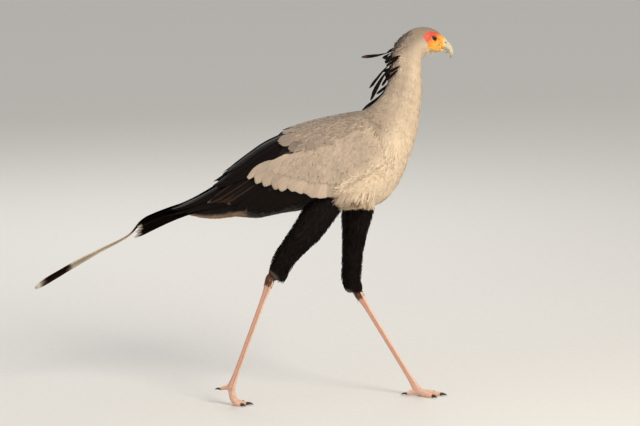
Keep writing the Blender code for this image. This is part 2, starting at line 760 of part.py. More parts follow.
def ball(radius, centre, collection, name="ball", segments=16):
    """Ball as a mesh object with its place in its mesh."""
    shape = bmesh.new()
    bmesh.ops.create_uvsphere(
        shape, u_segments=segments, v_segments=segments // 2 + 2, radius=radius,
        matrix=Matrix.Translation(centre))
    mesh = bpy.data.meshes.new(name)
    shape.to_mesh(mesh)
    shape.free()
    return add_object(name, mesh, collection)


def make_face(bird, cutters, materials):
    """Bill and eyes."""
    upper = spine_loft("bill_upper", UPPER_BILL_SECTIONS, 10, BILL_SIDES, 2.0)
    upper = add_object("bill_upper", upper, bird, materials["bill horn"])
    nostrils = []
    x, y, z = NOSTRIL_CENTRE
    for side in (-1, 1):
        hole = ball(1.0, Vector((0, 0, 0)), cutters, "nostril", 8)
        lie = Matrix.Rotation(NOSTRIL_SLANT, 4, "Y") @ Matrix.Diagonal((*NOSTRIL_SIZE, 1))
        hole.data.transform(Matrix.Translation((x, side * y, z)) @ lie)
        nostrils.append(hole)
    boolean(upper, nostrils, "DIFFERENCE", cutters)
    lower = spine_loft("bill_lower", LOWER_BILL_SECTIONS, 5, BILL_SIDES - 2, 2.0)
    lower = add_object("bill_lower", lower, bird, materials["bill horn"])
    boolean(lower, [swollen(upper, cutters)], "DIFFERENCE", cutters)
    for side, name in ((1, "eye_left"), (-1, "eye_right")):
        ex, ey, ez = EYE_CENTRE
        eye = ball(EYE_RADIUS, Vector((ex, side * ey, ez)), bird, name, 12)
        eye.data.materials.append(materials["eye"])


def make_crest(bird, cutters, materials, neighbours):
    """Crest: a strip of feather roots down the nape, with each long feather set in it."""
    path = [(x, 0.0, z, depth, width) for x, z, depth, width in CREST_BASE]
    crest = add_object("crest", limb_loft("crest", path, 6), bird, materials["black plumage"])
    pieces = []
    for i, (x, z, lean, length, bend, step) in enumerate(CREST_FEATHERS):
        angle = math.radians(lean)
        along = Vector((-math.cos(angle), 0, -math.sin(angle)))
        under = Vector((math.sin(angle), 0, -math.cos(angle)))
        aside = Vector((0, step, 0))
        root = Vector((x + 0.002, 0, z)) + aside * 0.6
        path = [root, root + along * length / 2 - under * bend + aside / 2, root + along * length + aside]
        roll = CREST_ROLL if step > 0 else -CREST_ROLL
        flat = Vector((0, 1, 0)) * math.cos(roll) + under * math.sin(roll)
        mesh = free_vane(
            f"crest_{i}", path, CREST_SPOON, VANE_STATIONS, SPOON_TIP, CREST_THICKNESS, flat)
        pieces.append(add_object(mesh.name, mesh, cutters))
    boolean(crest, pieces, "UNION", cutters)
    boolean(crest, [swollen(n, cutters) for n in neighbours], "DIFFERENCE", cutters)
    return crest


def toe_mesh(name, path, sizes):
    """Toe along its path, from the foot to the root of its claw."""
    rows = [(*spot, *size) for spot, size in zip(path, sizes)]
    return limb_loft(name, rows, 6)


def claw_mesh(name, root, along, length, size):
    """Claw from the flat end of a toe, curving down to its point."""
    rows = []
    for t, rise, share in CLAW_SHAPE:
        spot = root + along * length * t + Vector((0, 0, 1)) * size * rise
        rows.append((*spot, size * share, size * 0.8 * share))
    return limb_loft(name, rows, 5, FINE_SIDES)


def make_leg(bird, cutters, materials, side_name, side, torso):
    """Shank, foot, claws and thigh of one leg; hands back the thigh."""
    thigh_rows = RIGHT_THIGH if side < 0 else LEFT_THIGH
    hock = RIGHT_HOCK if side < 0 else LEFT_HOCK
    joint = RIGHT_TOE_JOINT if side < 0 else LEFT_TOE_JOINT
    last = len(thigh_rows) - 1
    path = []
    for i, (x, z, depth, width) in enumerate(thigh_rows):
        y = side * (HIP_SIDE + (HOCK_SIDE - HIP_SIDE) * i / last)
        path.append((x, y, z, depth, width))
    thigh = limb_loft("thigh", path, 10, THIGH_SIDES)
    thigh = add_object(f"thigh_{side_name}", thigh, bird, materials["black plumage"])
    hock_point = Vector((hock[0], side * HOCK_SIDE, hock[1]))
    foot_side = RIGHT_FOOT_SIDE if side < 0 else LEFT_FOOT_SIDE
    joint_point = Vector((joint[0], side * foot_side, joint[1]))
    end = Vector(path[-1][:3])
    above = end + (Vector(path[-2][:3]) - end).normalized() * 0.006
    shin = joint_point - hock_point
    rows = [
        (*above, 0.0080, 0.0080),
        (*hock_point.lerp(above, 0.5), 0.0095, 0.0092),
        (*hock_point, HOCK_DEPTH, HOCK_WIDTH),
        (*(hock_point + shin * 0.07), HOCK_DEPTH * 0.92, HOCK_WIDTH * 0.9),
        (*(hock_point + shin * 0.18), SHANK_DEPTH, SHANK_WIDTH),
        (*(hock_point + shin * 0.55), SHANK_DEPTH * 0.94, SHANK_WIDTH * 0.94),
        (*(hock_point + shin * 0.86), SHANK_DEPTH, SHANK_WIDTH),
        (*(hock_point + shin * 0.97), ANKLE_DEPTH, ANKLE_WIDTH),
    ]
    shank = limb_loft("shank", rows, 12, SHANK_SIDES)
    shank = add_object(f"shank_{side_name}", shank, bird, materials["leg skin"])
    boolean(thigh, [swollen(torso, cutters), swollen(shank, cutters)], "DIFFERENCE", cutters)
    make_foot(bird, cutters, materials, side_name, side, joint_point, shank)
    return thigh


def make_foot(bird, cutters, materials, side_name, side, joint, shank):
    """Foot with three toes forward and a small one behind, and a claw on each."""
    pushing = side < 0
    heights = PUSHING_TOE if pushing else FLAT_TOE
    foot = ball(FOOT_RADIUS, joint, bird, f"foot_{side_name}", 10)
    foot.data.materials.append(materials["leg skin"])
    toes = []
    claw_places = []
    for spread, length in zip(TOE_SPREAD, TOE_LENGTHS):
        angle = math.radians(spread * side)
        way = Vector((math.cos(angle), math.sin(angle), 0))
        path = []
        for share, z in heights:
            spot = joint + way * length * share
            path.append((spot.x, spot.y, z))
        mesh = toe_mesh("toe", path, TOE_SIZES)
        toes.append(add_object("toe", mesh, cutters))
        claw_places.append((Vector(path[-1]), way, CLAW_LENGTH * length / max(TOE_LENGTHS), CLAW_SIZE))
    back = Vector((-1, -0.25 * side, 0)).normalized()
    raised = joint + Vector((0, 0, PUSHING_HIND_TOE_RISE if pushing else 0.0))
    path = [raised + back * reach for reach in HIND_TOE_REACH]
    mesh = toe_mesh("toe", path, HIND_TOE_SIZES)
    toes.append(add_object("toe", mesh, cutters))
    claw_places.append((path[-1], back, HIND_CLAW_LENGTH, HIND_CLAW_SIZE))
    boolean(foot, toes, "UNION", cutters)
    boolean(foot, [swollen(shank, cutters)], "DIFFERENCE", cutters)
    slice_off(foot, Vector((0, 0, 0)), Vector((0, 0, -1)))
    for name, (end, way, length, size) in zip(("inner", "middle", "outer", "hind"), claw_places):
        mesh = claw_mesh("claw", end + way * GAP, way, length, size)
        add_object(f"claw_{side_name}_{name}", mesh, bird, materials["claw horn"])


def main():
    """Make the whole bird."""
    clear_scene()
    bird, cutters = make_collections()
    materials = make_materials()
    torso, neck = make_trunk(bird, materials)
    head = make_head(bird, cutters, materials)
    make_face(bird, cutters, materials)
    make_crest(bird, cutters, materials, (head, neck))
    tail = make_tail(bird, cutters, materials)
    left_thigh = make_leg(bird, cutters, materials, "left", 1, torso)
    right_thigh = make_leg(bird, cutters, materials, "right", -1, torso)
    left_wing, right_wing = make_wings(bird, cutters, materials)
    fit_wing(left_wing, 1, (torso, tail, left_thigh, neck), cutters)
    fit_wing(right_wing, -1, (torso, tail, right_thigh, neck), cutters)
    for item in bird.objects:
        item.data.shade_smooth()
        item.data.set_sharp_from_angle(angle=math.radians(40))


main()
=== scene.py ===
"""Looks of the secretary bird: skin, plumage, face, bill, eyes and scaled legs, round its solids.

Metres, +Z up, +X the way the bird walks, +Y its left side, the same frame as the solids.
The plumage is laid feather by feather along the lie of the real coat, as joined meshes.
"""

import math
from functools import partial

import bmesh
import bpy
import numpy as np
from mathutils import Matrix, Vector
from mathutils.bvhtree import BVHTree


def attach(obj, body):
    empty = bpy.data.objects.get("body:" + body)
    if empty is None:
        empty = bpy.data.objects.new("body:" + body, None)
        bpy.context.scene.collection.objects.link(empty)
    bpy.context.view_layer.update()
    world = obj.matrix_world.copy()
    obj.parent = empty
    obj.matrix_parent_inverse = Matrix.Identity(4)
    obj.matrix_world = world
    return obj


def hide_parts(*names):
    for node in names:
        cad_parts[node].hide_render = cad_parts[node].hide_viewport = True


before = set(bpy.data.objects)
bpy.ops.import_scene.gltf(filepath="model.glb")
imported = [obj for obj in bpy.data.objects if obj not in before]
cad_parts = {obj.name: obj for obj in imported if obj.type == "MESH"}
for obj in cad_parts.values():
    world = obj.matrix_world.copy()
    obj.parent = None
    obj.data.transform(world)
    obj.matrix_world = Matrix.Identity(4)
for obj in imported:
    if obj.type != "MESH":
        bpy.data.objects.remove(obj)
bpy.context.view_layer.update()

MM = 0.001
ACROSS = np.array([0.0, 1.0, 0.0])
UP = np.array([0.0, 0.0, 1.0])
SIDES = (("right", -1), ("left", 1))
SIGNS = dict(SIDES)
COAT_GREY = "#A89684"
COAT_CREAM = "#E8D4B8"

# Trunk sections from the end of the tail coverts to the front of the face:
# back x, back z, belly x, belly z, half width
TRUNK = (
    (-0.15, 0.518, -0.15, 0.498, 0.016), (-0.105, 0.54, -0.108, 0.4885, 0.029),
    (-0.055, 0.566, -0.062, 0.487, 0.04), (-0.01, 0.591, -0.02, 0.492, 0.05),
    (0.048, 0.638, 0.037, 0.489, 0.068), (0.108, 0.692, 0.108, 0.503, 0.081),
    (0.155, 0.722, 0.195, 0.513, 0.088), (0.205, 0.742, 0.284, 0.512, 0.089),
    (0.252, 0.758, 0.357, 0.527, 0.086), (0.289, 0.769, 0.404, 0.575, 0.081),
    (0.32, 0.782, 0.436, 0.649, 0.072), (0.344, 0.802, 0.457, 0.724, 0.06),
    (0.365, 0.827, 0.464, 0.782, 0.049), (0.378, 0.857, 0.469, 0.833, 0.041),
    (0.384, 0.886, 0.466, 0.875, 0.035), (0.387, 0.915, 0.466, 0.904, 0.0325),
    (0.395, 0.942, 0.476, 0.921, 0.032), (0.409, 0.964, 0.484, 0.928, 0.032),
    (0.43, 0.984, 0.492, 0.93, 0.032), (0.457, 0.994, 0.499, 0.93, 0.03), (0.483, 0.993, 0.506, 0.93, 0.025),
    (0.501, 0.986, 0.511, 0.931, 0.0195), (0.5165, 0.9735, 0.5145, 0.931, 0.015))
TRUNK_POWER = 2.15
# Share of the way along the trunk sections where the neck and the head begin
NECK_START = 11 / 22
HEAD_START = 15 / 22
# Depth of the coat, from the skin to the outline: share along the trunk, depth
COAT_DEPTH = ((0.0, 3.0 * MM), (0.45, 3.6 * MM), (0.6, 2.6 * MM), (0.75, 1.5 * MM), (0.86, 0.5 * MM),
              (1.0, 0.0))

# Thighs: axis x and z, half depth, half width
RIGHT_THIGH = (
    (0.2286, 0.553, 0.043, 0.028), (0.194, 0.504, 0.043, 0.033), (0.169, 0.468, 0.041, 0.032),
    (0.15, 0.445, 0.037, 0.03), (0.129, 0.4195, 0.033, 0.027), (0.11, 0.395, 0.03, 0.024),
    (0.097, 0.37, 0.027, 0.021), (0.089, 0.35, 0.022, 0.018), (0.085, 0.337, 0.015, 0.014))
LEFT_THIGH = (
    (0.307, 0.54, 0.042, 0.028), (0.297, 0.49, 0.042, 0.033), (0.293, 0.462, 0.038, 0.031),
    (0.29, 0.4347, 0.033, 0.028), (0.2862, 0.3945, 0.029, 0.025), (0.2836, 0.3544, 0.027, 0.023),
    (0.2818, 0.3145, 0.025, 0.022), (0.286, 0.295, 0.019, 0.018), (0.29, 0.286, 0.013, 0.014))
THIGH_COAT = 3.0 * MM
# Where the thighs' feathers end: x and z at the rear, and the slope of their ends from there
THIGH_ENDS = {"right": (0.069, 0.354, -0.62), "left": (0.262, 0.285, -0.09)}
HIP_SIDE = 0.050
HOCK_SIDE = 0.056
FOOT_SIDES = {"left": 0.066, "right": 0.054}
HOCKS = {"left": (0.2967, 0.285), "right": (0.0714, 0.34)}
TOE_JOINTS = {"left": (0.4566, 0.0175), "right": (-0.0334, 0.0478)}
# Shank: share of its length, half depth, half width
SHANK = (
    (0.0, 11.5 * MM, 10.0 * MM), (0.07, 10.6 * MM, 9.0 * MM), (0.18, 7.2 * MM, 6.2 * MM),
    (0.55, 6.8 * MM, 5.8 * MM), (0.86, 7.2 * MM, 6.2 * MM), (0.97, 9.8 * MM, 10.0 * MM),
    (1.0, 10.4 * MM, 10.6 * MM))
TOE_SPREAD = (-33, 0, 31)
TOE_LENGTHS = (0.047, 0.06, 0.046)
TOE_NAMES = ("inner", "middle", "outer", "hind")
FLAT_TOE = ((0.0, 0.0145), (0.3, 0.009), (0.6, 0.0062), (0.85, 0.0047), (1.0, 0.0047))
PUSHING_TOE = ((0.0, 0.046), (0.05, 0.029), (0.18, 0.013), (0.45, 0.0047), (0.65, 0.0047))
TOE_SIZES = (
    (0.0095, 0.0085), (0.0082, 0.008), (0.0078, 0.0076), (0.0068, 0.007), (0.0055, 0.0052))
HIND_TOE_SIZES = ((0.0085, 0.008), (0.0066, 0.0062), (0.0054, 0.005), (0.0044, 0.0042))
HIND_TOE_REACH = (0.0, 0.013, 0.022, 0.028)
PUSHING_HIND_TOE_RISE = 0.004
FOOT_RADIUS = 0.0108
CLAW_SHAPE = (
    (-0.06, 0.0, 0.86), (0.0, 0.0, 0.98), (0.12, 0.06, 1.0), (0.4, 0.12, 0.84), (0.72, -0.14, 0.54),
    (1.0, -0.72, 0.1))
CLAW_LENGTH = 0.019
CLAW_SIZE = 0.0042
HIND_CLAW_LENGTH = 0.016
HIND_CLAW_SIZE = 0.0034

# Bill sections: culmen x, z, cutting edge x, z, half width
UPPER_BILL = (
    (0.513, 0.9755, 0.5125, 0.9415, 0.0146), (0.517, 0.973, 0.516, 0.941, 0.0146),
    (0.5265, 0.9645, 0.526, 0.9395, 0.0122), (0.5335, 0.957, 0.531, 0.9372, 0.01),
    (0.5405, 0.949, 0.5345, 0.933, 0.0078), (0.5455, 0.9385, 0.5375, 0.9275, 0.0056),
    (0.5475, 0.9275, 0.539, 0.9225, 0.0038), (0.5445, 0.9185, 0.5392, 0.9175, 0.0022),
    (0.54, 0.9125, 0.5388, 0.9122, 0.0008))
LOWER_BILL = (
    (0.511, 0.94, 0.5105, 0.9325, 0.0112), (0.5157, 0.9395, 0.5148, 0.9325, 0.011),
    (0.5225, 0.938, 0.5215, 0.9295, 0.0095), (0.529, 0.9355, 0.5275, 0.9265, 0.0072),
    (0.534, 0.9312, 0.5325, 0.9258, 0.0042), (0.5363, 0.9278, 0.5358, 0.9264, 0.0015))
NOSTRIL = (0.5272, 0.9555)
NOSTRIL_HALF = (3.4 * MM, 1.3 * MM)
NOSTRIL_SLANT = math.radians(40)
NOSTRIL_DEPTH = 2.2 * MM

EYE_CENTRE = (0.4955, 0.0165, 0.9675)
EYE_RADIUS = 8.2 * MM
EYE_FACING = (0.22, 1.0, 0.05)
IRIS_RADIUS = 5.6 * MM
# Opening between the lids: half width, height above and below the middle
LID_OPENING = (6.6 * MM, 4.5 * MM, 5.2 * MM)
LID_REACH = 12.5 * MM
LID_SWELL = 1.1 * MM
# Rings of the lids: share of the way out from the rim, below 0 inside it
LID_SHARES = (-0.35, -0.12, 0.0, 0.06, 0.14, 0.25, 0.38, 0.52, 0.66, 0.80, 0.91, 1.0)
GAPE = ((0.493, 0.9405), (0.5175, 0.9387))
GAPE_DEPTH = 1.5 * MM
# Middle of the painted brow shadow that darkens the lore, in front of the eye: x and z
LORE = (0.5065, 0.9655)
# Outline of the bare face, x and z, seen from the side
BARE_FACE = (
    (0.467, 0.977), (0.4775, 0.985), (0.488, 0.988), (0.5037, 0.9835), (0.5115, 0.9765),
    (0.523, 0.971), (0.53, 0.929), (0.511, 0.929), (0.5037, 0.935), (0.4827, 0.9385), (0.48, 0.948),
    (0.4749, 0.961), (0.467, 0.9735))

# Folded wing: x, height of the top, height of the lower edge, half width of the pair
WING_SECTIONS = (
    (-0.225, 0.503, 0.486, 0.046), (-0.141, 0.553, 0.505, 0.058), (-0.075, 0.598, 0.517, 0.068),
    (-0.01, 0.65, 0.512, 0.078), (0.048, 0.695, 0.509, 0.089), (0.108, 0.726, 0.535, 0.098),
    (0.168, 0.745, 0.552, 0.104), (0.226, 0.759, 0.555, 0.105), (0.284, 0.77, 0.562, 0.102),
    (0.336, 0.775, 0.6, 0.093), (0.385, 0.77, 0.64, 0.078))
WING_EDGE_ANGLE = math.radians(115)
WING_FRONT = 0.385
WING_LENGTH = 0.610
# Greatest way down round the body that the wing's surface is worked out to
WING_REACH = 0.300
# Front of the wing where it lies against the body, from top to bottom: x and height
WING_BORDER = ((0.33, 0.768), (0.352, 0.752), (0.37, 0.726), (0.381, 0.696), (0.378, 0.664), (0.348, 0.64),
               (0.3, 0.618), (0.266, 0.594), (0.246, 0.568))
# Way down round the body where the wings' small feathers begin, and height where they end, by x
WING_TOP = ((-0.1, 0.0), (0.29, 0.0), (0.336, 0.01), (0.374, 0.066), (0.39, 0.1))
COVERT_EDGE = ((-0.05, 0.65), (0.08, 0.668), (0.135, 0.655), (0.19, 0.64), (0.255, 0.634),
               (0.29, 0.64), (0.336, 0.64), (0.374, 0.655), (0.385, 0.685))
# Rear edge of the small coverts: height, x
COVERT_REAR = ((0.64, 0.112), (0.67, 0.124), (0.685, 0.152), (0.70, 0.180), (0.72, 0.160), (0.78, 0.110))
# Steepness of the coverts' lie, in degrees below level, by x
COVERT_LIE = ((-0.05, 10), (0.05, 17), (0.1, 25), (0.16, 40), (0.22, 56), (0.27, 66), (0.33, 62), (0.38, 58))
# Ends of the scapulars' patch: x of their foremost and rearmost roots, lowest height by x
SCAPULAR_EDGE = ((0.11, 0.735), (0.125, 0.705), (0.19, 0.7), (0.25, 0.715), (0.31, 0.745))
# Rows of the wing's long feathers: name, widths of the first and the rest, count, depth at root and tip,
# lower edge's lift, more depth per feather, how early it leaves the root's depth, roots and tips as x and
# height
WING_ROWS = (
    ("primary", 0.027, 0.027, 7, 16.0 * MM, 4.0 * MM, 1.3 * MM, 0.55 * MM, 4.0,
     ((-0.02, 0.622), (-0.02, 0.59), (-0.015, 0.562)),
     ((-0.202, 0.516), (-0.214, 0.505), (-0.155, 0.501))),
    ("secondary", 0.034, 0.034, 14, 13.0 * MM, 7.2 * MM, 1.3 * MM, 0.25 * MM, 0.8,
     ((0.085, 0.65), (0.13, 0.622), (0.19, 0.598)),
     ((-0.092, 0.556), (-0.04, 0.527), (0.01, 0.512), (0.055, 0.508), (0.118, 0.536))),
    ("tertial", 0.042, 0.042, 5, 11.0 * MM, 2.6 * MM, 1.0 * MM, 0.75 * MM, 0.4,
     ((0.115, 0.722), (0.11, 0.695), (0.1, 0.662)),
     ((-0.042, 0.616), (-0.062, 0.6), (-0.088, 0.573))),
    ("greater_covert", 0.024, 0.044, 12, 5.0 * MM, 1.5 * MM, 0.3 * MM, 0.0, 0.4,
     ((0.08, 0.648), (0.135, 0.628), (0.19, 0.61), (0.243, 0.61)),
     ((0.012, 0.624), (0.05, 0.601), (0.098, 0.583), (0.15, 0.571), (0.195, 0.558), (0.234, 0.561))),
    ("median_covert", 0.024, 0.036, 13, 2.6 * MM, 0.9 * MM, 0.2 * MM, 0.0, 0.4,
     ((0.112, 0.664), (0.15, 0.67), (0.2, 0.662), (0.29, 0.668)),
     ((0.058, 0.634), (0.094, 0.624), (0.135, 0.614), (0.178, 0.603), (0.218, 0.596), (0.275, 0.606))),
    ("scapular", 0.032, 0.032, 5, 5.0 * MM, -0.8 * MM, 0.3 * MM, 0.0, 0.4,
     ((0.165, 0.742), (0.165, 0.726), (0.18, 0.712), (0.22, 0.712)),
     ((0.1, 0.716), (0.086, 0.694), (0.104, 0.686), (0.16, 0.7))),
)
BLACK_ROWS = ("primary", "secondary", "tertial")

# Half width of a feather along it, from root to tip: share, part of the full width
LONG_VANE = ((0.0, 0.35), (0.1, 0.75), (0.35, 1.0), (0.8, 0.95), (0.93, 0.72), (1.0, 0.3))
SOFT_VANE = ((0.0, 0.5), (0.25, 0.95), (0.6, 1.0), (0.8, 0.8), (0.92, 0.5), (1.0, 0.18))
SHORT_VANE = (
    (0.0, 0.45), (0.25, 0.92), (0.65, 1.0), (0.8, 0.98), (0.88, 0.88), (0.94, 0.7), (0.98, 0.46), (1.0, 0.22))
CLOSE_VANE = ((0.0, 0.55), (0.35, 1.0), (0.70, 0.75), (1.0, 0.12))
LOOSE_VANE = ((0.0, 0.5), (0.35, 1.0), (0.75, 0.8), (1.0, 0.15))
MANTLE_VANE = ((0.0, 0.5), (0.35, 1.0), (0.75, 0.8), (1.0, 0.12))
FRINGE_VANE = ((0.0, 0.5), (0.25, 1.0), (0.6, 0.8), (1.0, 0.08))
THIGH_VANE = ((0.0, 0.5), (0.3, 1.0), (0.65, 0.8), (1.0, 0.10))
WISP_VANE = ((0.0, 0.7), (0.4, 1.0), (1.0, 0.06))
SPOON_VANE = ((0.0, 0.22), (0.38, 0.26), (0.62, 0.78), (0.78, 1.0), (0.9, 0.9), (0.97, 0.55), (1.0, 0.2))
SPOT_VANE = ((0.0, 0.4), (0.3, 0.9), (0.7, 1.0), (0.9, 0.7), (1.0, 0.2))
CENTRAL_VANE = (
    (0.0, 0.55), (0.14, 0.85), (0.28, 0.8), (0.41, 0.6), (0.58, 0.6), (0.7, 0.74), (0.82, 1.0), (0.95, 0.86),
    (0.985, 0.62), (1.0, 0.3))

# Close coats: rings and sides of their surface, gaps of their roots by share of the trunk in mm,
# least and greatest length in gaps, rise in gaps, first and last share on the bake map
BODY_GAPS = ((0, 5.0), (0.2, 4.8), (0.42, 4.0), (0.5, 3.5), (1, 3.2))
CLOSE_COATS = {
    "breast": (500, 200, BODY_GAPS, (3.6, 4.8), 0.28, 0.0, NECK_START),
    "back": (500, 200, BODY_GAPS, (3.6, 4.8), 0.28, 0.0, NECK_START),
    "neck": (700, 200, ((0.45, 3.5), (0.55, 2.9), (0.70, 2.4)), (3.8, 5.4), 0.34, 0.48, 0.72),
    "head": (1000, 240, ((0.68, 2.3), (0.80, 1.8), (0.90, 1.35), (1, 1.1)), (3.2, 4.4), 0.26, HEAD_START, 1),
}
# Height that the fringe hangs down to, by x
FRINGE_END = ((0.24, 0.545), (0.262, 0.532), (0.282, 0.526), (0.298, 0.543), (0.316, 0.534), (0.336, 0.524),
              (0.356, 0.521))

RECTRIX_PATH = ((-0.095, 0.534), (-0.165, 0.516), (-0.232, 0.491), (-0.277, 0.469))
RECTRIX_STEPS = (3.0 * MM, 3.4 * MM, 4.6 * MM, 6.0 * MM)
RECTRIX_PAIRS = 5
RECTRIX_FIRST_OUT = 0.014
RECTRIX_STEP_OUT = 0.0045
RECTRIX_SPREAD = (0.7, 1.0, 1.1, 1.25)
RECTRIX_WIDTH = 0.030
RECTRIX_LEAN = 0.33
CENTRAL_TAIL = (
    (-0.09, 0.5405), (-0.165, 0.523), (-0.235, 0.4975), (-0.27, 0.4785), (-0.305, 0.442), (-0.38, 0.402),
    (-0.455, 0.3605), (-0.5485, 0.303))
# Way across each long central feather, at even steps along it
CENTRAL_LEANS = ((0, 1, -0.16), (0, 1, -0.16), (0, 1, -0.16), (0, 1, -0.3), (0, 1, -0.6))
# Share of their gap that the two long central feathers lie apart, by x
CENTRAL_APART = ((-0.50, 1.0), (-0.44, 0.30), (-0.31, 0.30), (-0.26, 1.0))
# Crest feathers: root x and z, degrees below level, length, bend, step to the side, width
CREST = (
    (0.399, 0.938, 13, 0.1, -0.005, 0.0, 0.0105), (0.4, 0.9217, 12, 0.04, 0.0, -0.01, 0.01),
    (0.388, 0.928, 31, 0.036, 0.002, 0.01, 0.009), (0.392, 0.92, 62, 0.06, 0.0, -0.014, 0.009),
    (0.4, 0.897, 29, 0.048, 0.0, 0.012, 0.011), (0.392, 0.915, 49, 0.106, 0.002, -0.006, 0.0085),
    (0.39, 0.912, 51, 0.1, 0.004, 0.006, 0.0085), (0.39, 0.908, 58, 0.122, 0.004, -0.014, 0.0105),
    (0.389, 0.904, 57, 0.11, 0.004, 0.015, 0.0105), (0.388, 0.892, 57, 0.06, 0.0, -0.009, 0.009),
    (0.387, 0.888, 58, 0.052, 0.0, 0.009, 0.009), (0.384, 0.876, 51, 0.128, -0.0135, -0.005, 0.008),
    (0.383, 0.872, 51, 0.118, -0.0125, 0.005, 0.008), (0.386, 0.884, 56, 0.08, -0.01, 0.0, 0.009),
    (0.4, 0.942, 30, 0.036, 0.004, 0.006, 0.008), (0.394, 0.926, 40, 0.04, 0.004, -0.004, 0.008))
# Short dark feathers on each side of the nape: root x, z, end x, z, places across at both
NAPE_SPOTS = (
    (0.408, 0.9235, 0.368, 0.907, 0.03, 0.019), (0.404, 0.918, 0.372, 0.896, 0.0305, 0.021),
    (0.407, 0.896, 0.372, 0.876, 0.0315, 0.02), (0.402, 0.886, 0.37, 0.856, 0.031, 0.019))

# Side of the patch of the bake map that each small feather has, and the slant of its barbs
BAKE_PATCH = 0.003
BARB_SLANT = 1.3
# Roots lie no nearer than this share of their gap
LEAST_GAP = 0.82

# Middle of the photograph's frame and metres in one of its pixels
CAMERA_TARGET = Vector((0.1998, 0.0, 0.5028))
CAMERA_DISTANCE = 15.0
CAMERA_RISE = math.radians(10)
METRES_PER_PIXEL = 0.00262
PHOTO_WIDTH = 640

SMALL_PIECES_SEED = 7
# Inputs of a mix of colours: share, first colour, second colour
MIX_INPUTS = (0, 6, 7)
# Output that a node stands for where it isn't the first
USUAL_OUTPUTS = {"ShaderNodeMix": 2, "ShaderNodeTexCoord": "Object", "ShaderNodeAttribute": "Fac"}


def linear(hex_colour):
    """Linear colour of an sRGB hex value, with full opacity."""
    channels = [int(hex_colour[i:i + 2], 16) / 255 for i in (1, 3, 5)]
    return (*[c / 12.92 if c <= 0.04045 else ((c + 0.055) / 1.055) ** 2.4 for c in channels], 1.0)


def add_node(tree, kind, inputs=(), stops=(), **settings):
    """Add a node with its settings, its inputs by name or in order, and a ramp's stops.

    An input is a value, an sRGB hex colour, a socket, or a node, which gives its usual output.
    """
    if kind == "Mix":
        settings["data_type"] = "RGBA"
    node = tree.nodes.new(kind if "Node" in kind else f"ShaderNode{kind}")
    for name, value in settings.items():
        setattr(node, name, value)
    if not isinstance(inputs, dict):
        inputs = dict(zip(MIX_INPUTS if kind == "Mix" else range(len(inputs)), inputs))
    for socket, value in inputs.items():
        if isinstance(value, bpy.types.Node):
            value = value.outputs[USUAL_OUTPUTS.get(value.bl_idname, 0)]
        if isinstance(value, bpy.types.NodeSocket):
            tree.links.new(value, node.inputs[socket])
        else:
            hex_colour = isinstance(value, str) and value.startswith("#")
            node.inputs[socket].default_value = linear(value) if hex_colour else value
    for i, (position, colour) in enumerate(stops):
        points = node.color_ramp.elements
        point = points[i] if i < len(points) else points.new(position)
        point.position, point.color = position, linear(colour)
    return node


def ease(low, high, value):
    """Smooth rise from 0 at low to 1 at high."""
    t = np.clip((np.asarray(value, float) - low) / (high - low), 0, 1)
    return t * t * (3 - 2 * t)


def along_rows(rows, t):
    """Points at shares t, from 0 to 1, on a smooth curve through rows of numbers."""
    rows = np.asarray(rows, float)
    last = len(rows) - 1
    place = np.clip(np.asarray(t, float), 0, 1) * last
    i = np.minimum(place.astype(int), last - 1)
    f = (place - i)[..., None]
    before, here = rows[np.maximum(i - 1, 0)], rows[i]
    there, after = rows[i + 1], rows[np.minimum(i + 2, last)]
    leave = np.where((i > 0)[..., None], (there - before) / 2, there - here)
    arrive = np.where((i + 2 <= last)[..., None], (after - here) / 2, there - here)
    curve = (2 * f**3 - 3 * f**2 + 1) * here + (f**3 - 2 * f**2 + f) * leave
    return curve + (3 * f**2 - 2 * f**3) * there + (f**3 - f**2) * arrive


def read_keys(keys, t):
    """Value at t between pairs of place and value, along straight lines."""
    keys = np.asarray(keys, float)
    return np.interp(t, keys[:, 0], keys[:, 1])


def unit(vectors):
    """Vectors at length 1."""
    return vectors / np.maximum(np.linalg.norm(vectors, axis=-1, keepdims=True), 1e-12)


class Surface:
    """Surface over rings of points, read at u along it and v round it, both from 0 to 1."""

    def __init__(self, rings, closed=True):
        self.rings = rings
        self.closed = closed
        rows, sides = rings.shape[:2]
        self.along = np.gradient(rings, axis=0) * (rows - 1)
        if closed:
            self.around = (np.roll(rings, -1, axis=1) - np.roll(rings, 1, axis=1)) / 2 * sides
        else:
            self.around = np.gradient(rings, axis=1) * (sides - 1)
        self.normal = unit(np.cross(self.along, self.around))

    def read(self, table, u, v):
        """Read a table over the surface between its points."""
        rows, sides = table.shape[:2]
        place = np.clip(u, 0, 1) * (rows - 1)
        i = np.minimum(place.astype(int), rows - 2)
        fu = (place - i)[..., None]
        if self.closed:
            place = np.mod(v, 1.0) * sides
            j = np.minimum(place.astype(int), sides - 1)
        else:
            place = np.clip(v, 0, 1) * (sides - 1)
            j = np.minimum(place.astype(int), sides - 2)
        k = (j + 1) % sides
        fv = (place - j)[..., None]
        low = table[i, j] * (1 - fv) + table[i, k] * fv
        high = table[i + 1, j] * (1 - fv) + table[i + 1, k] * fv
        return low * (1 - fu) + high * fu

    def place(self, u, v, height):
        """Points at u and v at a height over the surface, carried straight on past its ends."""
        normal = unit(self.read(self.normal, u, v))
        points = self.read(self.rings, u, v) + normal * np.asarray(height)[..., None]
        points = points + self.read(self.along, u, v) * (u - np.clip(u, 0, 1))[..., None]
        if not self.closed:
            points = points + self.read(self.around, u, v) * (v - np.clip(v, 0, 1))[..., None]
        return points

    def inset(self, depth):
        """The surface moved inwards by a depth, or by one for each ring."""
        depth = np.broadcast_to(depth, len(self.rings))
        return Surface(self.rings - self.normal * depth[:, None, None], self.closed)


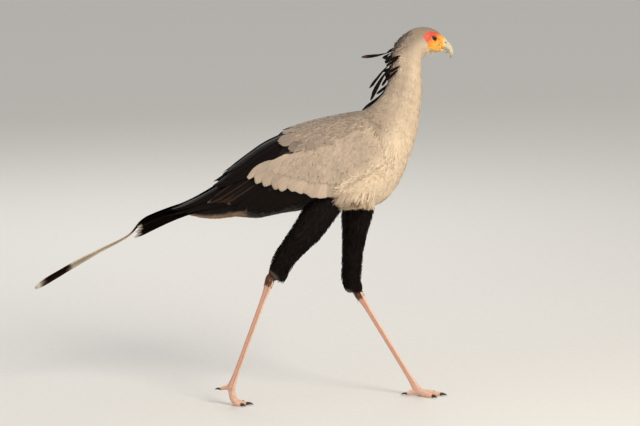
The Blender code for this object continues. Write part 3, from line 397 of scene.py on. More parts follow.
def oval_rings(centre, up, side, sides, power=2.0):
    """Rings of points on ovals, squarer as the power grows."""
    angle = 2 * np.pi * np.arange(sides) / sides
    c, s = [np.sign(wave) * np.abs(wave) ** (2 / power) for wave in (np.cos(angle), np.sin(angle))]
    return centre[:, None] + up[:, None] * c[:, None] + side[:, None] * s[:, None]


def section_rings(rows, shares, sides, power):
    """Rings round the middle plane, from sections given by back, belly and half width."""
    back_x, back_z, belly_x, belly_z, half = along_rows(rows, shares).T
    back, belly, side = [np.stack([x, y, z], 1) for x, y, z in (
        (back_x, 0 * half, back_z), (belly_x, 0 * half, belly_z), (0 * half, half, 0 * half))]
    return oval_rings((back + belly) / 2, (back - belly) / 2, side, sides, power)


def limb_rings(rows, count, sides):
    """Rings round a limb, from rows of x, y, z, half depth and half width."""
    shares = np.linspace(0, 1, count)
    at = along_rows(rows, shares)
    way = unit((along_rows(rows, shares + 0.01) - along_rows(rows, shares - 0.01))[:, :3])
    side = unit(ACROSS - way * way[:, 1:2])
    return oval_rings(at[:, :3], np.cross(way, side) * at[:, 3:4], side * at[:, 4:5], sides)


def trunk_rings(shares, sides):
    """Surface of the trunk's skin, inside the outline by the depth of the coat."""
    if isinstance(shares, int):
        shares = np.linspace(0, 1, shares)
    return Surface(section_rings(TRUNK, shares, sides, TRUNK_POWER)).inset(read_keys(COAT_DEPTH, shares))


def thigh_rows(side_name):
    """Thigh sections with their places across the body."""
    rows = RIGHT_THIGH if side_name == "right" else LEFT_THIGH
    sides = SIGNS[side_name] * np.linspace(HIP_SIDE, HOCK_SIDE, len(rows))
    return [(x, y, z, depth, width) for (x, z, depth, width), y in zip(rows, sides)]


def wing_surface():
    """Outer surface of the folded right wing: u from the shoulder back, v down from mid-back."""
    x = WING_FRONT - WING_LENGTH * np.linspace(0, 1, 240)
    table = np.asarray(WING_SECTIONS)
    top, edge, half = [np.interp(x, table[:, 0], table[:, i]) for i in (1, 2, 3)]
    for column in (top, edge, half):
        padded = np.pad(column, 8, mode="reflect", reflect_type="odd")
        column[:] = np.convolve(padded, np.ones(17) / 17, mode="valid")
    tall = (top - edge) / (1 - math.cos(WING_EDGE_ANGLE))
    centre = top - tall
    way = WING_REACH * np.linspace(0, 1, 160)
    angle = way[None] * 2 / (tall + half)[:, None]
    y = -half[:, None] * np.sin(angle)
    z = centre[:, None] + tall[:, None] * np.cos(angle)
    surface = Surface(np.stack([np.broadcast_to(x[:, None], y.shape), y, z], -1), closed=False)
    surface.centre, surface.tall, surface.half = centre, tall, half
    return surface


def wing_oval(surface, u):
    """Centre, height and half width of the wing's oval at shares u of its length."""
    grid = np.linspace(0, 1, len(surface.tall))
    return [np.interp(u, grid, table) for table in (surface.centre, surface.tall, surface.half)]


def wing_spot(surface, x, height):
    """Place u, v on the wing of a point on its side, given its x and its height."""
    u = (WING_FRONT - np.asarray(x, float)) / WING_LENGTH
    centre, tall, half = wing_oval(surface, u)
    angle = np.arccos(np.clip((height - centre) / tall, -1, 1))
    return u, angle * (tall + half) / 2 / WING_REACH


def thin_out(points, radius):
    """Mark points that lie no nearer to an earlier marked one than their radius."""
    cell = float(radius.max())
    taken = {}
    kept = np.zeros(len(points), bool)
    near = [(a, b, c) for a in (-1, 0, 1) for b in (-1, 0, 1) for c in (-1, 0, 1)]
    keys = np.floor(points / cell).astype(int).tolist()
    for i, ((x, y, z), reach, key) in enumerate(zip(points.tolist(), (radius**2).tolist(), keys)):
        kept[i] = all((x - p) ** 2 + (y - q) ** 2 + (z - r) ** 2 >= reach for a, b, c in near
                      for p, q, r in taken.get((key[0] + a, key[1] + b, key[2] + c), ()))
        if kept[i]:
            taken.setdefault(tuple(key), []).append((x, y, z))
    return kept


def scatter(surface, gaps, chooser, wanted):
    """Roots spread over a surface where wanted says so, with gaps in mm between keys along u.

    Gives their places u and v, their points and their gaps.
    """
    gaps = np.array(gaps) * (1, MM)
    rows, sides = surface.rings.shape[:2]
    u = np.repeat(np.linspace(0, 1, rows), sides)
    v = np.tile(np.arange(sides) / (sides if surface.closed else sides - 1), rows)
    area = np.linalg.norm(np.cross(surface.along, surface.around), axis=-1) / (rows * sides)
    weight = area.ravel() / read_keys(gaps, u) ** 2 * wanted(u, v, surface.rings.reshape(-1, 3))
    count = int(weight.sum() * 5)
    picked = chooser.choice(len(u), size=count, p=weight / weight.sum())
    u = np.clip(u[picked] + chooser.uniform(-0.5, 0.5, count) / rows, 0, 1)
    v = v[picked] + chooser.uniform(-0.5, 0.5, count) / sides
    if not surface.closed:
        v = np.clip(v, 0, 1)
    points = surface.read(surface.rings, u, v)
    gap = read_keys(gaps, u)
    kept = thin_out(points, gap * LEAST_GAP)
    return u[kept], v[kept], points[kept], gap[kept]


def lay_vanes(surface, u, v, turn, length, width, rise, chooser, profile, stations=5, columns=3, ragged=0.1,
              sink=0.5 * MM, camber=0.08, tilt=0.0, twist=0.15, metric=None, tip=0.2, ridge=0.0, hug=1.3):
    """Feathers laid along a surface from their roots, each a grid of points.

    turn is the angle of the lie from the way u grows; rise is how high the tip stands over
    the root; tilt lifts one edge; tip rounds the end; ragged frays it.
    """
    count = len(u)
    u, v, turn, length, width, rise, tilt = [
        np.broadcast_to(np.asarray(x, float), (count,))[:, None, None]
        for x in (u, v, turn, length, width, rise, tilt)]
    t = np.linspace(0, 1, stations)[:, None]
    s = np.linspace(-1, 1, columns)
    if columns > 5:
        s = np.sign(s) * np.abs(s) ** 1.15
    share = read_keys(profile, t)
    fray = chooser.uniform(0, ragged, (count, 1, columns)) * t**2
    a = length * t * (1 - tip * s**2 * t**2 - fray)
    curl = chooser.normal(0, 0.05, (count, 1, 1)) * length * t**2
    c = width / 2 * share * s + curl
    du = a * np.cos(turn) - c * np.sin(turn)
    dv = a * np.sin(turn) + c * np.cos(turn)
    size_u, size_v = metric or [np.linalg.norm(surface.read(table, u, v), axis=-1)
                                for table in (surface.along, surface.around)]
    height = -sink + (rise + sink) * t**hug + camber * width * share * (1 - s**2) + tilt * s * share
    height = height + ridge * np.exp(-(s / 0.10) ** 2) * (1 - 0.6 * t)
    height = height + chooser.normal(0, twist, (count, 1, 1)) * width / 2 * s * t
    return {"points": surface.place(u + du / size_u, v + dv / size_v, height), "t": t, "s": s,
            "barb": (a + np.abs(c - curl) * BARB_SLANT) / MM}


def free_vanes(paths, widths, rolls, chooser, profile, stations=6, columns=3, camber=0.08, ridge=0.0,
               ragged=0.05):
    """Feathers along paths in space: rows of points for each, its width, and its flat side's way."""
    t = np.linspace(0, 1, stations)[:, None]
    s = np.linspace(-1, 1, columns)
    share = read_keys(profile, t)
    grids, barbs = [], []
    for path, width, roll in zip(paths, widths, rolls):
        spine = along_rows(path, t[:, 0])
        way = unit(along_rows(path, t[:, 0] + 0.02) - along_rows(path, t[:, 0] - 0.02))
        roll = np.asarray(roll, float)
        roll = along_rows(roll, t[:, 0]) if roll.ndim == 2 else np.tile(roll, (stations, 1))
        flat = unit(roll - way * (way * roll).sum(1)[:, None])
        c = width / 2 * share * s * (1 + chooser.uniform(-ragged, ragged, (stations, columns)))
        bow = camber * width * share * (1 - s**2) + ridge * np.exp(-(s / 0.12) ** 2) * (1 - 0.7 * t)
        grids.append(spine[:, None] + flat[:, None] * c[..., None]
                     + np.cross(way, flat)[:, None] * bow[..., None])
        run = np.concatenate([[0], np.linalg.norm(np.diff(spine, axis=0), axis=1).cumsum()])
        barbs.append((run[:, None] + np.abs(c) * BARB_SLANT) / MM)
    return {"points": np.array(grids), "t": t, "s": s, "barb": np.array(barbs)}


def link(name, mesh, material=None):
    """Add a mesh to the scene as a named object."""
    made = bpy.data.objects.new(name, mesh)
    bpy.context.scene.collection.objects.link(made)
    if material is not None:
        mesh.materials.clear()
        mesh.materials.append(material)
    return made


def mesh_of_quads(name, points, quads):
    """Smooth mesh of quads from arrays."""
    mesh = bpy.data.meshes.new(name)
    mesh.vertices.add(len(points))
    mesh.vertices.foreach_set("co", np.ascontiguousarray(points, np.float32).ravel())
    mesh.loops.add(quads.size)
    mesh.loops.foreach_set("vertex_index", np.ascontiguousarray(quads, np.int32).ravel())
    mesh.polygons.add(len(quads))
    mesh.polygons.foreach_set("loop_start", np.arange(0, quads.size, 4, dtype=np.int32))
    mesh.polygons.foreach_set("loop_total", np.full(len(quads), 4, np.int32))
    mesh.update(calc_edges=True)
    mesh.shade_smooth()
    return mesh


def set_colours(mesh, name, values):
    """Give each point of a mesh a colour of three shares."""
    layer = mesh.attributes.new(name, "FLOAT_COLOR", "POINT")
    full = np.ones((len(values), 4), np.float32)
    full[:, :3] = values
    layer.data.foreach_set("color", full.ravel())


def set_numbers(mesh, name, values):
    """Give each point of a mesh a number."""
    layer = mesh.attributes.new(name, "FLOAT", "POINT")
    layer.data.foreach_set("value", np.ascontiguousarray(values, np.float32).ravel())


def set_bake_map(mesh, places):
    """Give a mesh the map that its patterns are baked on, from a place for each point."""
    loops = np.zeros(len(mesh.loops), np.int32)
    mesh.loops.foreach_get("vertex_index", loops)
    layer = mesh.uv_layers.new(name="OFBake")
    layer.data.foreach_set("uv", np.ascontiguousarray(places[loops], np.float32).ravel())


def vanes_object(name, batches, material, mirror=False):
    """One object of many feathers. Each batch has points, marks, tone, barb and bake places."""
    quads, tables, start = [], [], 0
    for batch in batches:
        shape = batch["points"].shape[:3]
        grid = np.arange(math.prod(shape)).reshape(shape) + start
        corners = [grid[:, :-1, :-1], grid[:, 1:, :-1], grid[:, 1:, 1:], grid[:, :-1, 1:]]
        quads.append(np.stack(corners[::-1] if mirror else corners, -1).reshape(-1, 4))
        columns = (batch["points"], batch["marks"], batch["tone"][:, None, None], batch["barb"],
                   np.abs(batch["s"]), batch["places"])
        tables.append([np.broadcast_to(column, shape + column.shape[3:]).reshape(grid.size, -1)
                       for column in columns])
        start += grid.size
    points, marks, tone, barb, shaft, places = [np.concatenate(column) for column in zip(*tables)]
    if mirror:
        points = points * (1, -1, 1)
    mesh = mesh_of_quads(name, points, np.concatenate(quads))
    set_colours(mesh, "marks", marks)
    for label, values in (("tone", tone), ("barb", barb), ("shaft", shaft)):
        set_numbers(mesh, label, values)
    set_bake_map(mesh, places)
    return link(name, mesh, material)


def patch_places(batch, u, v):
    """Bake places of small feathers: a patch for each at its root's place on the unwrapped skin."""
    x = u[:, None, None] * 0.98 + 0.01 + (batch["t"] - 0.5) * BAKE_PATCH
    y = v[:, None, None] * 0.98 + 0.01 + batch["s"] * 0.5 * BAKE_PATCH
    return np.stack(np.broadcast_arrays(x, y), -1)


def strip_places(batch, first, total):
    """Bake places of long feathers: a strip of the map for each, side by side."""
    strip = (first + np.arange(len(batch["points"])))[:, None, None]
    x = (strip + 0.5 + 0.42 * batch["s"]) / total
    return np.stack(np.broadcast_arrays(x, 0.02 + 0.96 * batch["t"]), -1)


def dress(batch, marks, chooser, places, spread=1.0):
    """Give a batch the markings of each feather, its own tone and its places on the bake map."""
    if marks.ndim == 2:
        marks = np.broadcast_to(marks[:, None, None], batch["points"].shape)
    batch.update(marks=marks, tone=chooser.normal(0, spread, len(marks)), places=places)
    return batch


def coat_piece(name, batch, marks, chooser, u, v, material):
    """One object of small feathers, from their batch, their marks and their places on the map."""
    return vanes_object(name, [dress(batch, marks, chooser, patch_places(batch, u, v))], material)


def frontness(v):
    """How far round the trunk a place lies, from 0 at mid-back to 1 at mid-belly."""
    return 0.5 - 0.5 * np.cos(2 * np.pi * v)


def in_polygon(x, z, corners):
    """Whether points lie inside a polygon."""
    inside = np.zeros(np.shape(x), bool)
    for (x1, z1), (x2, z2) in zip(corners, corners[1:] + corners[:1]):
        crosses = (z1 > z) != (z2 > z)
        with np.errstate(divide="ignore", invalid="ignore"):
            at = (x2 - x1) * (z - z1) / (z2 - z1) + x1
        inside ^= crosses & (x < at)
    return inside


def away_from_line(x, z, start, end):
    """Distance in the side view from a line between two points, and the share along it."""
    run = (end[0] - start[0], end[1] - start[1])
    t = np.clip(((x - start[0]) * run[0] + (z - start[1]) * run[1]) / (run[0] ** 2 + run[1] ** 2), 0, 1)
    return np.hypot(x - start[0] - t * run[0], z - start[1] - t * run[1]), t


def inside_border(x, z, line, corners):
    """Depth of points inside corners in the side view, from a line that bounds them; outside below 0."""
    nearest = np.full(np.shape(x), 1.0)
    for start, end in zip(line, line[1:]):
        nearest = np.minimum(nearest, away_from_line(x, z, start, end)[0])
    return np.where(in_polygon(x, z, corners), nearest, -nearest)


def bareness(points):
    """How bare the face is, from 0 among the feathers to 1, with a soft border."""
    x, y, z = np.moveaxis(points, -1, 0)
    depth = inside_border(x, z, BARE_FACE + BARE_FACE[:1], BARE_FACE)
    depth = depth - 1.0 * MM + 0.5 * MM * np.sin(x * 1100 + 2.0) * np.sin(z * 900)
    return ease(-1.5 * MM, 1.5 * MM, depth) * ease(5 * MM, 9 * MM, np.abs(y))


def behind_border(x, z):
    """How far points lie behind the front of the wing in the side view, negative ahead of it."""
    return inside_border(x, z, WING_BORDER, WING_BORDER + ((-0.2, 0.568), (-0.2, 0.768)))


def trunk_marks(u, v, points):
    """Shares of black, cream and tan on the trunk at u, v."""
    x, y, z = np.moveaxis(points, -1, 0)
    front = frontness(v)
    ragged = 0.006 * np.sin(x * 420 + y * 300)
    black = ease(0.262, 0.240, x + ragged) * (1 - ease(0.60, 0.66, z))
    crown = 0.16 * ease(0.70, 0.78, u) * ease(0.45, 0.15, front)
    # Tan under the rear of the belly: partly the undertail coverts' warm colour, partly painted shade of the
    # underside
    tan = ease(0.030, -0.004, x) * ease(0.72, 0.93, front)
    black = black * (1 - tan)
    body_cream = ease(0.30, 0.62, front)
    blotches = np.sin(x * 150 + z * 95) * np.sin(z * 125 - x * 60 + y * 110)
    neck_cream = 0.36 + 0.50 * ease(0.25, 0.90, front) + 0.16 * blotches
    head_cream = 0.04 + 0.66 * ease(0.30, 0.66, front)
    cream = body_cream + (neck_cream - body_cream) * ease(0.44, 0.56, u)
    cream = cream + (head_cream - cream) * ease(0.68, 0.76, u)
    return np.stack([black + crown, cream * (1 - black), tan], -1)


def face_colours(points):
    """Shares of bare skin, of coral red in it and of yellow in it."""
    x, z = points[..., 0], points[..., 2]
    slope = ((z - 0.9675) * 0.85 - (x - 0.4985) * 0.55) / MM
    wander = 1.2 * np.sin(x * 900 + 1.0) * np.sin(z * 1100)
    red = ease(-3.5, 8.0, slope + wander)
    yellow = ease(-8.0, -15.0, slope + wander) * 0.8
    yellow = np.maximum(yellow, ease(0.5115, 0.5190, x))
    return np.stack([bareness(points), red, yellow * (1 - red)], -1)


def face_relief(points):
    """How far the face stands out from the plain shape of the head at each point."""
    x, y, z = np.moveaxis(points, -1, 0)

    def ridge(start, end, wide, away=0.0):
        """Rise of 1 along a line, or at a distance from it, that falls off over a width."""
        far, t = away_from_line(x, z, start, end)
        return np.exp(-((far - away) / wide) ** 2), t

    eye = np.hypot(x - EYE_CENTRE[0], z - EYE_CENTRE[2])
    brow, t = ridge((0.4845, 0.9785), (0.5085, 0.9765), 2.4 * MM)
    relief = 1.5 * MM * brow * np.sin(np.pi * (0.15 + 0.7 * t))
    relief -= 1.0 * MM * np.exp(-((eye - 9.5 * MM) / (2.2 * MM)) ** 2)
    relief -= 0.7 * MM * ridge((0.5080, 0.9660), (0.5130, 0.9560), 2.5 * MM)[0]
    gape, t = ridge(*GAPE, 0.60 * MM)
    relief -= GAPE_DEPTH * (0.5 + 0.5 * t) * gape
    relief += 0.6 * MM * ridge(*GAPE, 0.9 * MM, 1.9 * MM)[0]
    relief += 0.8 * MM * ridge((0.4880, 0.9530), (0.5020, 0.9500), 4.5 * MM)[0]
    folds = np.sin((eye / MM) * 2 * np.pi / 1.9 + 1.5 * np.sin(6 * np.arctan2(z - 0.9675, x - 0.4955)))
    around = ease(8.5 * MM, 10 * MM, eye) * ease(19 * MM, 13 * MM, eye)
    relief += 0.13 * MM * folds * around
    return relief * ease(6 * MM, 11 * MM, np.abs(y))


def quads_over(rings):
    """Quads over an open grid of rings, closed round."""
    rows, sides = rings.shape[:2]
    grid = np.arange(rows * sides).reshape(rows, sides)
    following = np.roll(grid, -1, axis=1)
    return np.stack([grid[:-1], grid[1:], following[1:], following[:-1]], -1).reshape(-1, 4)


def shell_of(rings):
    """Points and quads of a closed form over rings, with a fan of quads drawn in at each end."""
    rows, sides = rings.shape[:2]
    points, quads, count = [rings.reshape(-1, 3)], [quads_over(rings)], rows * sides
    for ring in (0, rows - 1):
        last = np.arange(sides) + ring * sides
        centre = rings[ring].mean(0)
        for share in (0.6, 0.25, 0.0):
            points.append(centre + (rings[ring] - centre) * share)
            new = np.arange(count, count + sides)
            count += sides
            corners = [last, np.roll(last, -1), np.roll(new, -1), new]
            quads.append(np.stack(corners if ring else corners[::-1], -1))
            last = new
    return np.concatenate(points), np.concatenate(quads)


def with_ends(table):
    """Values over rings, carried on over the points that close the form's two ends."""
    table = table.reshape(*table.shape[:2], -1)
    return np.concatenate([*table, *[table[0]] * 3, *[table[-1]] * 3])


def outwards(mesh):
    """Weld a closed mesh's doubled points and turn its faces out."""
    shape = bmesh.new()
    shape.from_mesh(mesh)
    bmesh.ops.remove_doubles(shape, verts=shape.verts, dist=0.00001)
    bmesh.ops.recalc_face_normals(shape, faces=shape.faces)
    shape.to_mesh(mesh)
    shape.free()
    mesh.shade_smooth()


def closed_piece(name, rings, material, numbers):
    """Closed mesh object over rings, with numbers at each point."""
    mesh = mesh_of_quads(name, *shell_of(rings))
    for label, values in numbers.items():
        set_numbers(mesh, label, with_ends(values))
    outwards(mesh)
    return link(name, mesh, material)


def finish(piece):
    """Turn a piece with modifiers into a plain smooth mesh without them."""
    bpy.context.view_layer.update()
    evaluated = piece.evaluated_get(bpy.context.evaluated_depsgraph_get())
    mesh = bpy.data.meshes.new_from_object(evaluated)
    piece.modifiers.clear()
    old, piece.data = piece.data, mesh
    bpy.data.meshes.remove(old)
    mesh.shade_smooth()


def make_skin(material):
    """One skin over head, neck, trunk, thighs and the bodies of the wings."""
    parts = []

    def add_part(rings, along, marks, face, corner, size):
        """Add a closed part with its marks and its rectangle of the bake map."""
        across = np.arange(rings.shape[1]) / rings.shape[1]
        place = np.stack(np.broadcast_arrays(along[:, None] * size[0] + corner[0],
                                             across * size[1] + corner[1]), -1)
        points, quads = shell_of(rings)
        quads += sum(len(part[0]) for part in parts)
        parts.append((points, quads, *[with_ends(table) for table in (marks, face, place)]))

    shares = np.concatenate([np.linspace(0, HEAD_START, 190)[:-1], np.linspace(HEAD_START, 1.0, 170)])
    surface = trunk_rings(shares, 176)
    relief = face_relief(surface.rings) * (shares > HEAD_START)[:, None]
    rings = surface.rings + surface.normal * relief[..., None]
    add_part(rings, shares, trunk_marks(shares[:, None], np.arange(176)[None] / 176, rings),
             face_colours(rings) * (shares > 0.8)[:, None, None], (0.02, 0.02), (0.96, 0.46))
    for i, side_name in enumerate(("right", "left")):
        limb = Surface(limb_rings(thigh_rows(side_name), 60, 48)).inset(THIGH_COAT)
        black = np.zeros((60, 48, 3)) + (1, 0, 0)
        add_part(limb.rings, np.linspace(0, 1, 60), black, 0 * black, (0.02 + 0.5 * i, 0.52), (0.44, 0.2))
    slab = wing_slab()
    x, _, z = np.moveaxis(slab, -1, 0)
    dark = 1 - ease(0.105, 0.115, x) * ease(-0.004, 0.004, z - read_keys(COVERT_EDGE, x))
    dark = np.maximum(dark, ease(0.158, 0.150, x) * ease(0.670, 0.674, z))
    marks = np.stack([dark, 0.3 + 0 * dark, 0 * dark], -1)
    for i, way in enumerate((1, -1)):
        add_part((slab * (1, way, 1))[:, ::way], np.linspace(0, 1, len(slab)), marks[:, ::way], 0 * marks,
                 (0.02 + 0.5 * i, 0.76), (0.44, 0.2))
    points, quads, marks, face, places = [np.concatenate(column) for column in zip(*parts)]
    mesh = mesh_of_quads("skin", points, quads)
    set_colours(mesh, "marks", marks)
    set_colours(mesh, "face", face)
    # rim on the skin: painted shade of the brow, darkest on the lore in front of the eye
    from_lore = np.hypot(points[:, 0] - LORE[0], (points[:, 2] - LORE[1]) * 1.3)
    set_numbers(mesh, "rim", 0.42 * np.exp(-(from_lore / (3.2 * MM)) ** 2) * (np.abs(points[:, 1]) > 6 * MM))
    set_bake_map(mesh, places)
    outwards(mesh)
    return link("skin", mesh, material)


def wing_slab():
    """Rings of the body of the right wing, under its feathers."""
    surface = wing_surface()
    x = np.linspace(0.372, -0.030, 70)
    share = (x - x.min()) / (x.max() - x.min())
    u = ((WING_FRONT - x) / WING_LENGTH)[:, None]
    low = read_keys(((0.0, 0.545), (0.12, 0.560), (0.45, 0.600), (0.70, 0.612), (0.90, 0.640), (1.0, 0.685)),
                    share)
    low_v = wing_spot(surface, x, low)[1]
    high_v = np.where(x > 0.33, (x - 0.33) * 1.2, 0.004) / WING_REACH
    deep = read_keys(((0.0, 12 * MM), (0.3, 9 * MM), (0.6, 6 * MM), (0.9, 4.5 * MM), (1.0, 6 * MM)), share)
    across = np.linspace(0, 1, 40)
    v = high_v[:, None] + (low_v - high_v)[:, None] * across
    u = np.broadcast_to(u, v.shape)
    taper = np.sin(np.pi * np.clip(across, 0.04, 0.96)) ** 0.4
    flat = surface.read(surface.rings, u, v)
    covered = ease(0.002, 0.014, flat[..., 2] - read_keys(COVERT_EDGE, flat[..., 0]))
    covered = covered * ease(0.105, 0.125, flat[..., 0])
    depth = deep[:, None] + (1.4 * MM - deep[:, None]) * covered
    inner = surface.place(u, v, -(deep[:, None] + 9 * MM * taper))
    return np.concatenate([surface.place(u, v, -depth), inner[:, ::-1]], 1)


def close_coat(region, chooser, material):
    """Close-laid soft feathers with tapered ends, of the breast, back, neck or head."""
    rings, sides, gaps, reach, rise, first, last = CLOSE_COATS[region]
    surface = trunk_rings(rings, sides)

    def wanted(u, v, points):
        """Where the roots of these feathers may lie."""
        if region == "head":
            return (u >= HEAD_START) & (u < 0.985) & (bareness(points) < 0.42)
        if region == "neck":
            return (u >= NECK_START - 0.01) & (u < HEAD_START + 0.02)
        under_wing = (np.abs(v - 0.5) > 0.34) & (points[:, 0] < 0.27) & (points[:, 0] > 0.03)
        return (u < NECK_START) & ((points[:, 0] > 0.255) == (region == "breast")) & ~under_wing

    u, v, roots, size = scatter(surface, gaps, chooser, wanted)
    count = len(u)
    batch = lay_vanes(
        surface, u, v, np.pi + chooser.normal(0, 0.10, count), size * chooser.uniform(*reach, count),
        size * chooser.uniform(0.75, 1.05, count), size * rise * chooser.uniform(0.4, 1.6, count), chooser,
        CLOSE_VANE, stations=4, ragged=0.06, sink=0.35 * MM, camber=0.10, twist=0.10, tip=0.10, hug=1.2)
    return coat_piece(f"coat_{region}", batch, trunk_marks(u, v, roots), chooser,
                      (u - first) / (last - first), v, material)


def nape_coat(chooser, material):
    """Longer loose feathers of the nape, grey and slate, that part over the roots of the crest."""
    surface = trunk_rings(700, 200)

    def wanted(u, v, points):
        """Where the roots of these feathers may lie."""
        low = read_keys(((0.58, 0.60), (0.74, 0.60), (0.80, 0.72)), u)
        return (u > 0.59) & (u < 0.850) & (0.5 + 0.5 * np.cos(2 * np.pi * v) > low)

    u, v, roots, _ = scatter(surface, ((0, 4.6),), chooser, wanted)
    count = len(u)
    back = 0.5 + 0.5 * np.cos(2 * np.pi * v)
    lift = read_keys(((0.60, 2.5), (0.68, 8.0), (0.76, 9.0), (0.82, 2.5), (0.85, 0.8)), u) * MM
    lift = lift * (0.25 + 0.75 * ease(0.74, 0.97, back))
    sweep = 0.95 * ease(0.98, 0.84, back) * np.sign(0.5 - v) * ease(0.78, 0.72, u)
    batch = lay_vanes(
        surface, u, v, np.pi + sweep + chooser.normal(0, 0.12, count), chooser.uniform(17, 27, count) * MM,
        chooser.uniform(2.4, 4.0, count) * MM, lift * chooser.uniform(0.2, 0.9, count), chooser, LOOSE_VANE,
        stations=6, twist=0.08, tip=0.3, hug=1.5)
    marks = trunk_marks(u, v, roots)
    slate = ease(0.84, 0.96, back + chooser.normal(0, 0.03, count)) * ease(0.69, 0.74, u)
    marks[:, 0] = (0.50 + 0.40 * chooser.uniform(size=count)) * slate
    low = ease(0.940, 0.925, roots[:, 2])
    # Half the low nape feathers are pale wisps; the rest are darkened, painted shade in the gaps between the
    # wisps
    light = (chooser.uniform(size=count) > 0.50) * (back < 0.95) * low
    marks[:, 1] += (0.90 - marks[:, 1]) * light - 0.15 * low * (1 - light)
    marks[:, 0] = marks[:, 0] * (1 - light) + 0.22 * chooser.uniform(size=count) * low * (1 - light)
    return coat_piece("coat_nape", batch, marks.clip(0, 1), chooser, (u - 0.5) / 0.4, v, material)


def chin_coat(chooser, material):
    """White bristly feathers that hang loose from the chin and along the gape."""
    surface = trunk_rings(1000, 240)

    def wanted(u, v, points):
        """Where the roots of these feathers may lie."""
        return (u > 0.80) & (u < 0.985) & (frontness(v) > 0.78) & (bareness(points) < 0.3)

    u, v, roots, _ = scatter(surface, ((0, 1.25),), chooser, wanted)
    count = len(u)
    normal = unit(surface.read(surface.normal, u, v))
    back = -unit(surface.read(surface.along, u, v))
    stand = (0.08 + 0.80 * chooser.uniform(size=count) ** 2.2)[:, None]
    way = unit(back * (1 - stand) + normal * stand + chooser.normal(0, 0.09, (count, 3)))
    length = chooser.uniform(7, 15, count)[:, None] * MM
    droop = length * (-0.20, 0.0, -0.04)
    paths = np.stack([roots - normal * 0.4 * MM, roots + way * length * 0.5, roots + way * length + droop], 1)
    batch = free_vanes(paths, chooser.uniform(0.45, 0.95, count) * MM, np.cross(way, normal), chooser,
                       WISP_VANE, camber=0.15)
    u = (u - HEAD_START) / (1 - HEAD_START)
    batch = dress(batch, np.tile((0.0, 1.0, 0.0), (count, 1)), chooser, patch_places(batch, u, v))
    batch["tone"] += 3.0
    return vanes_object("coat_chin", [batch], material)


def thigh_marks(side_name, points):
    """Black, turning brown at the very end of the thigh, over the hock."""
    first_x, first_z, slope = THIGH_ENDS[side_name]
    over = points[..., 2] - first_z - slope * (points[..., 0] - first_x)
    brown = ease(10 * MM, 2 * MM, over) * ease(0.030, 0.004, points[..., 0] - first_x)
    return np.stack([1 - 0.55 * brown, brown, brown], -1)


def thigh_coat(side_name, chooser, material):
    """Dense black trousers, longest round the hock, with a cuff that squares off their end."""
    outline = Surface(limb_rings(thigh_rows(side_name), 200, 120))
    surface = outline.inset(THIGH_COAT)
    u, v, _, size = scatter(surface, ((0, 3.9), (0.6, 3.3), (1, 2.7)), chooser, lambda u, v, at: u < 0.950)
    count = len(u)
    length = size * chooser.uniform(4.0, 6.0, count)
    rise = read_keys(((0, 2.2), (0.45, 2.2), (0.68, 3.3), (0.85, 2.2), (1, 1.5)), u) * MM
    batch = lay_vanes(
        surface, u, v, chooser.normal(0, 0.12, count),
        length * read_keys(((0, 1), (0.8, 1.1), (0.93, 0.9), (1, 0.5)), u),
        size * chooser.uniform(0.6, 0.9, count), rise * chooser.uniform(0.6, 1.5, count), chooser, THIGH_VANE,
        sink=0.6 * MM, twist=0.25)
    dress(batch, thigh_marks(side_name, batch["points"]), chooser, patch_places(batch, u, v))
    u, v, roots, _ = scatter(outline, ((0, 2.6),), chooser, lambda u, v, at: (u > 0.74) & (u < 0.93))
    first_x, first_z, slope = THIGH_ENDS[side_name]
    axis = np.array(thigh_rows(side_name))[:, :3]
    way = unit(axis[-1] - axis[-3])
    paths, rolls = [], []
    for root, out in zip(roots, unit(outline.read(outline.normal, u, v))):
        low = first_z + slope * (root[0] - first_x) + chooser.normal(0, 2.2 * MM)
        length = min(max((root[2] - low) / -way[2], 7 * MM), 30 * MM)
        end = root + way * length - out * 3.2 * MM
        paths.append([root - out * 3.0 * MM, (root + end) / 2 + out * 0.8 * MM, end])
        rolls.append(np.cross(way, out) + chooser.normal(0, 0.2, 3))
    cuff = free_vanes(paths, chooser.uniform(2.0, 3.2, len(u)) * MM, rolls, chooser, THIGH_VANE, camber=0.1,
                      ragged=0.08)
    dress(cuff, thigh_marks(side_name, cuff["points"]), chooser, patch_places(cuff, u, v))
    return vanes_object(f"coat_thigh_{side_name}", [batch, cuff], material)


def hock_coat(side_name, chooser, material):
    """Short rough brown feathers over the hock, down to the top of the bare shank."""
    surface = Surface(limb_rings(leg_rows(side_name)[:6], 80, 64))
    u, v, _, _ = scatter(surface, ((0, 1.9),), chooser, lambda u, v, at: (u > 0.15) & (u < 0.56))
    count = len(u)
    batch = lay_vanes(
        surface, u, v, chooser.normal(0, 0.2, count), chooser.uniform(4.0, 7.5, count) * MM,
        chooser.uniform(1.2, 2.0, count) * MM, chooser.uniform(0.5, 1.4, count) * MM, chooser, THIGH_VANE,
        sink=0.4 * MM, metric=(0.080, 0.063))
    marks = np.ones((count, 3))
    marks[:, 0] = chooser.uniform(0.10, 0.50, count) + 0.4 * ease(0.35, 0.15, u)
    return coat_piece(f"coat_hock_{side_name}", batch, marks, chooser, u, v, material)


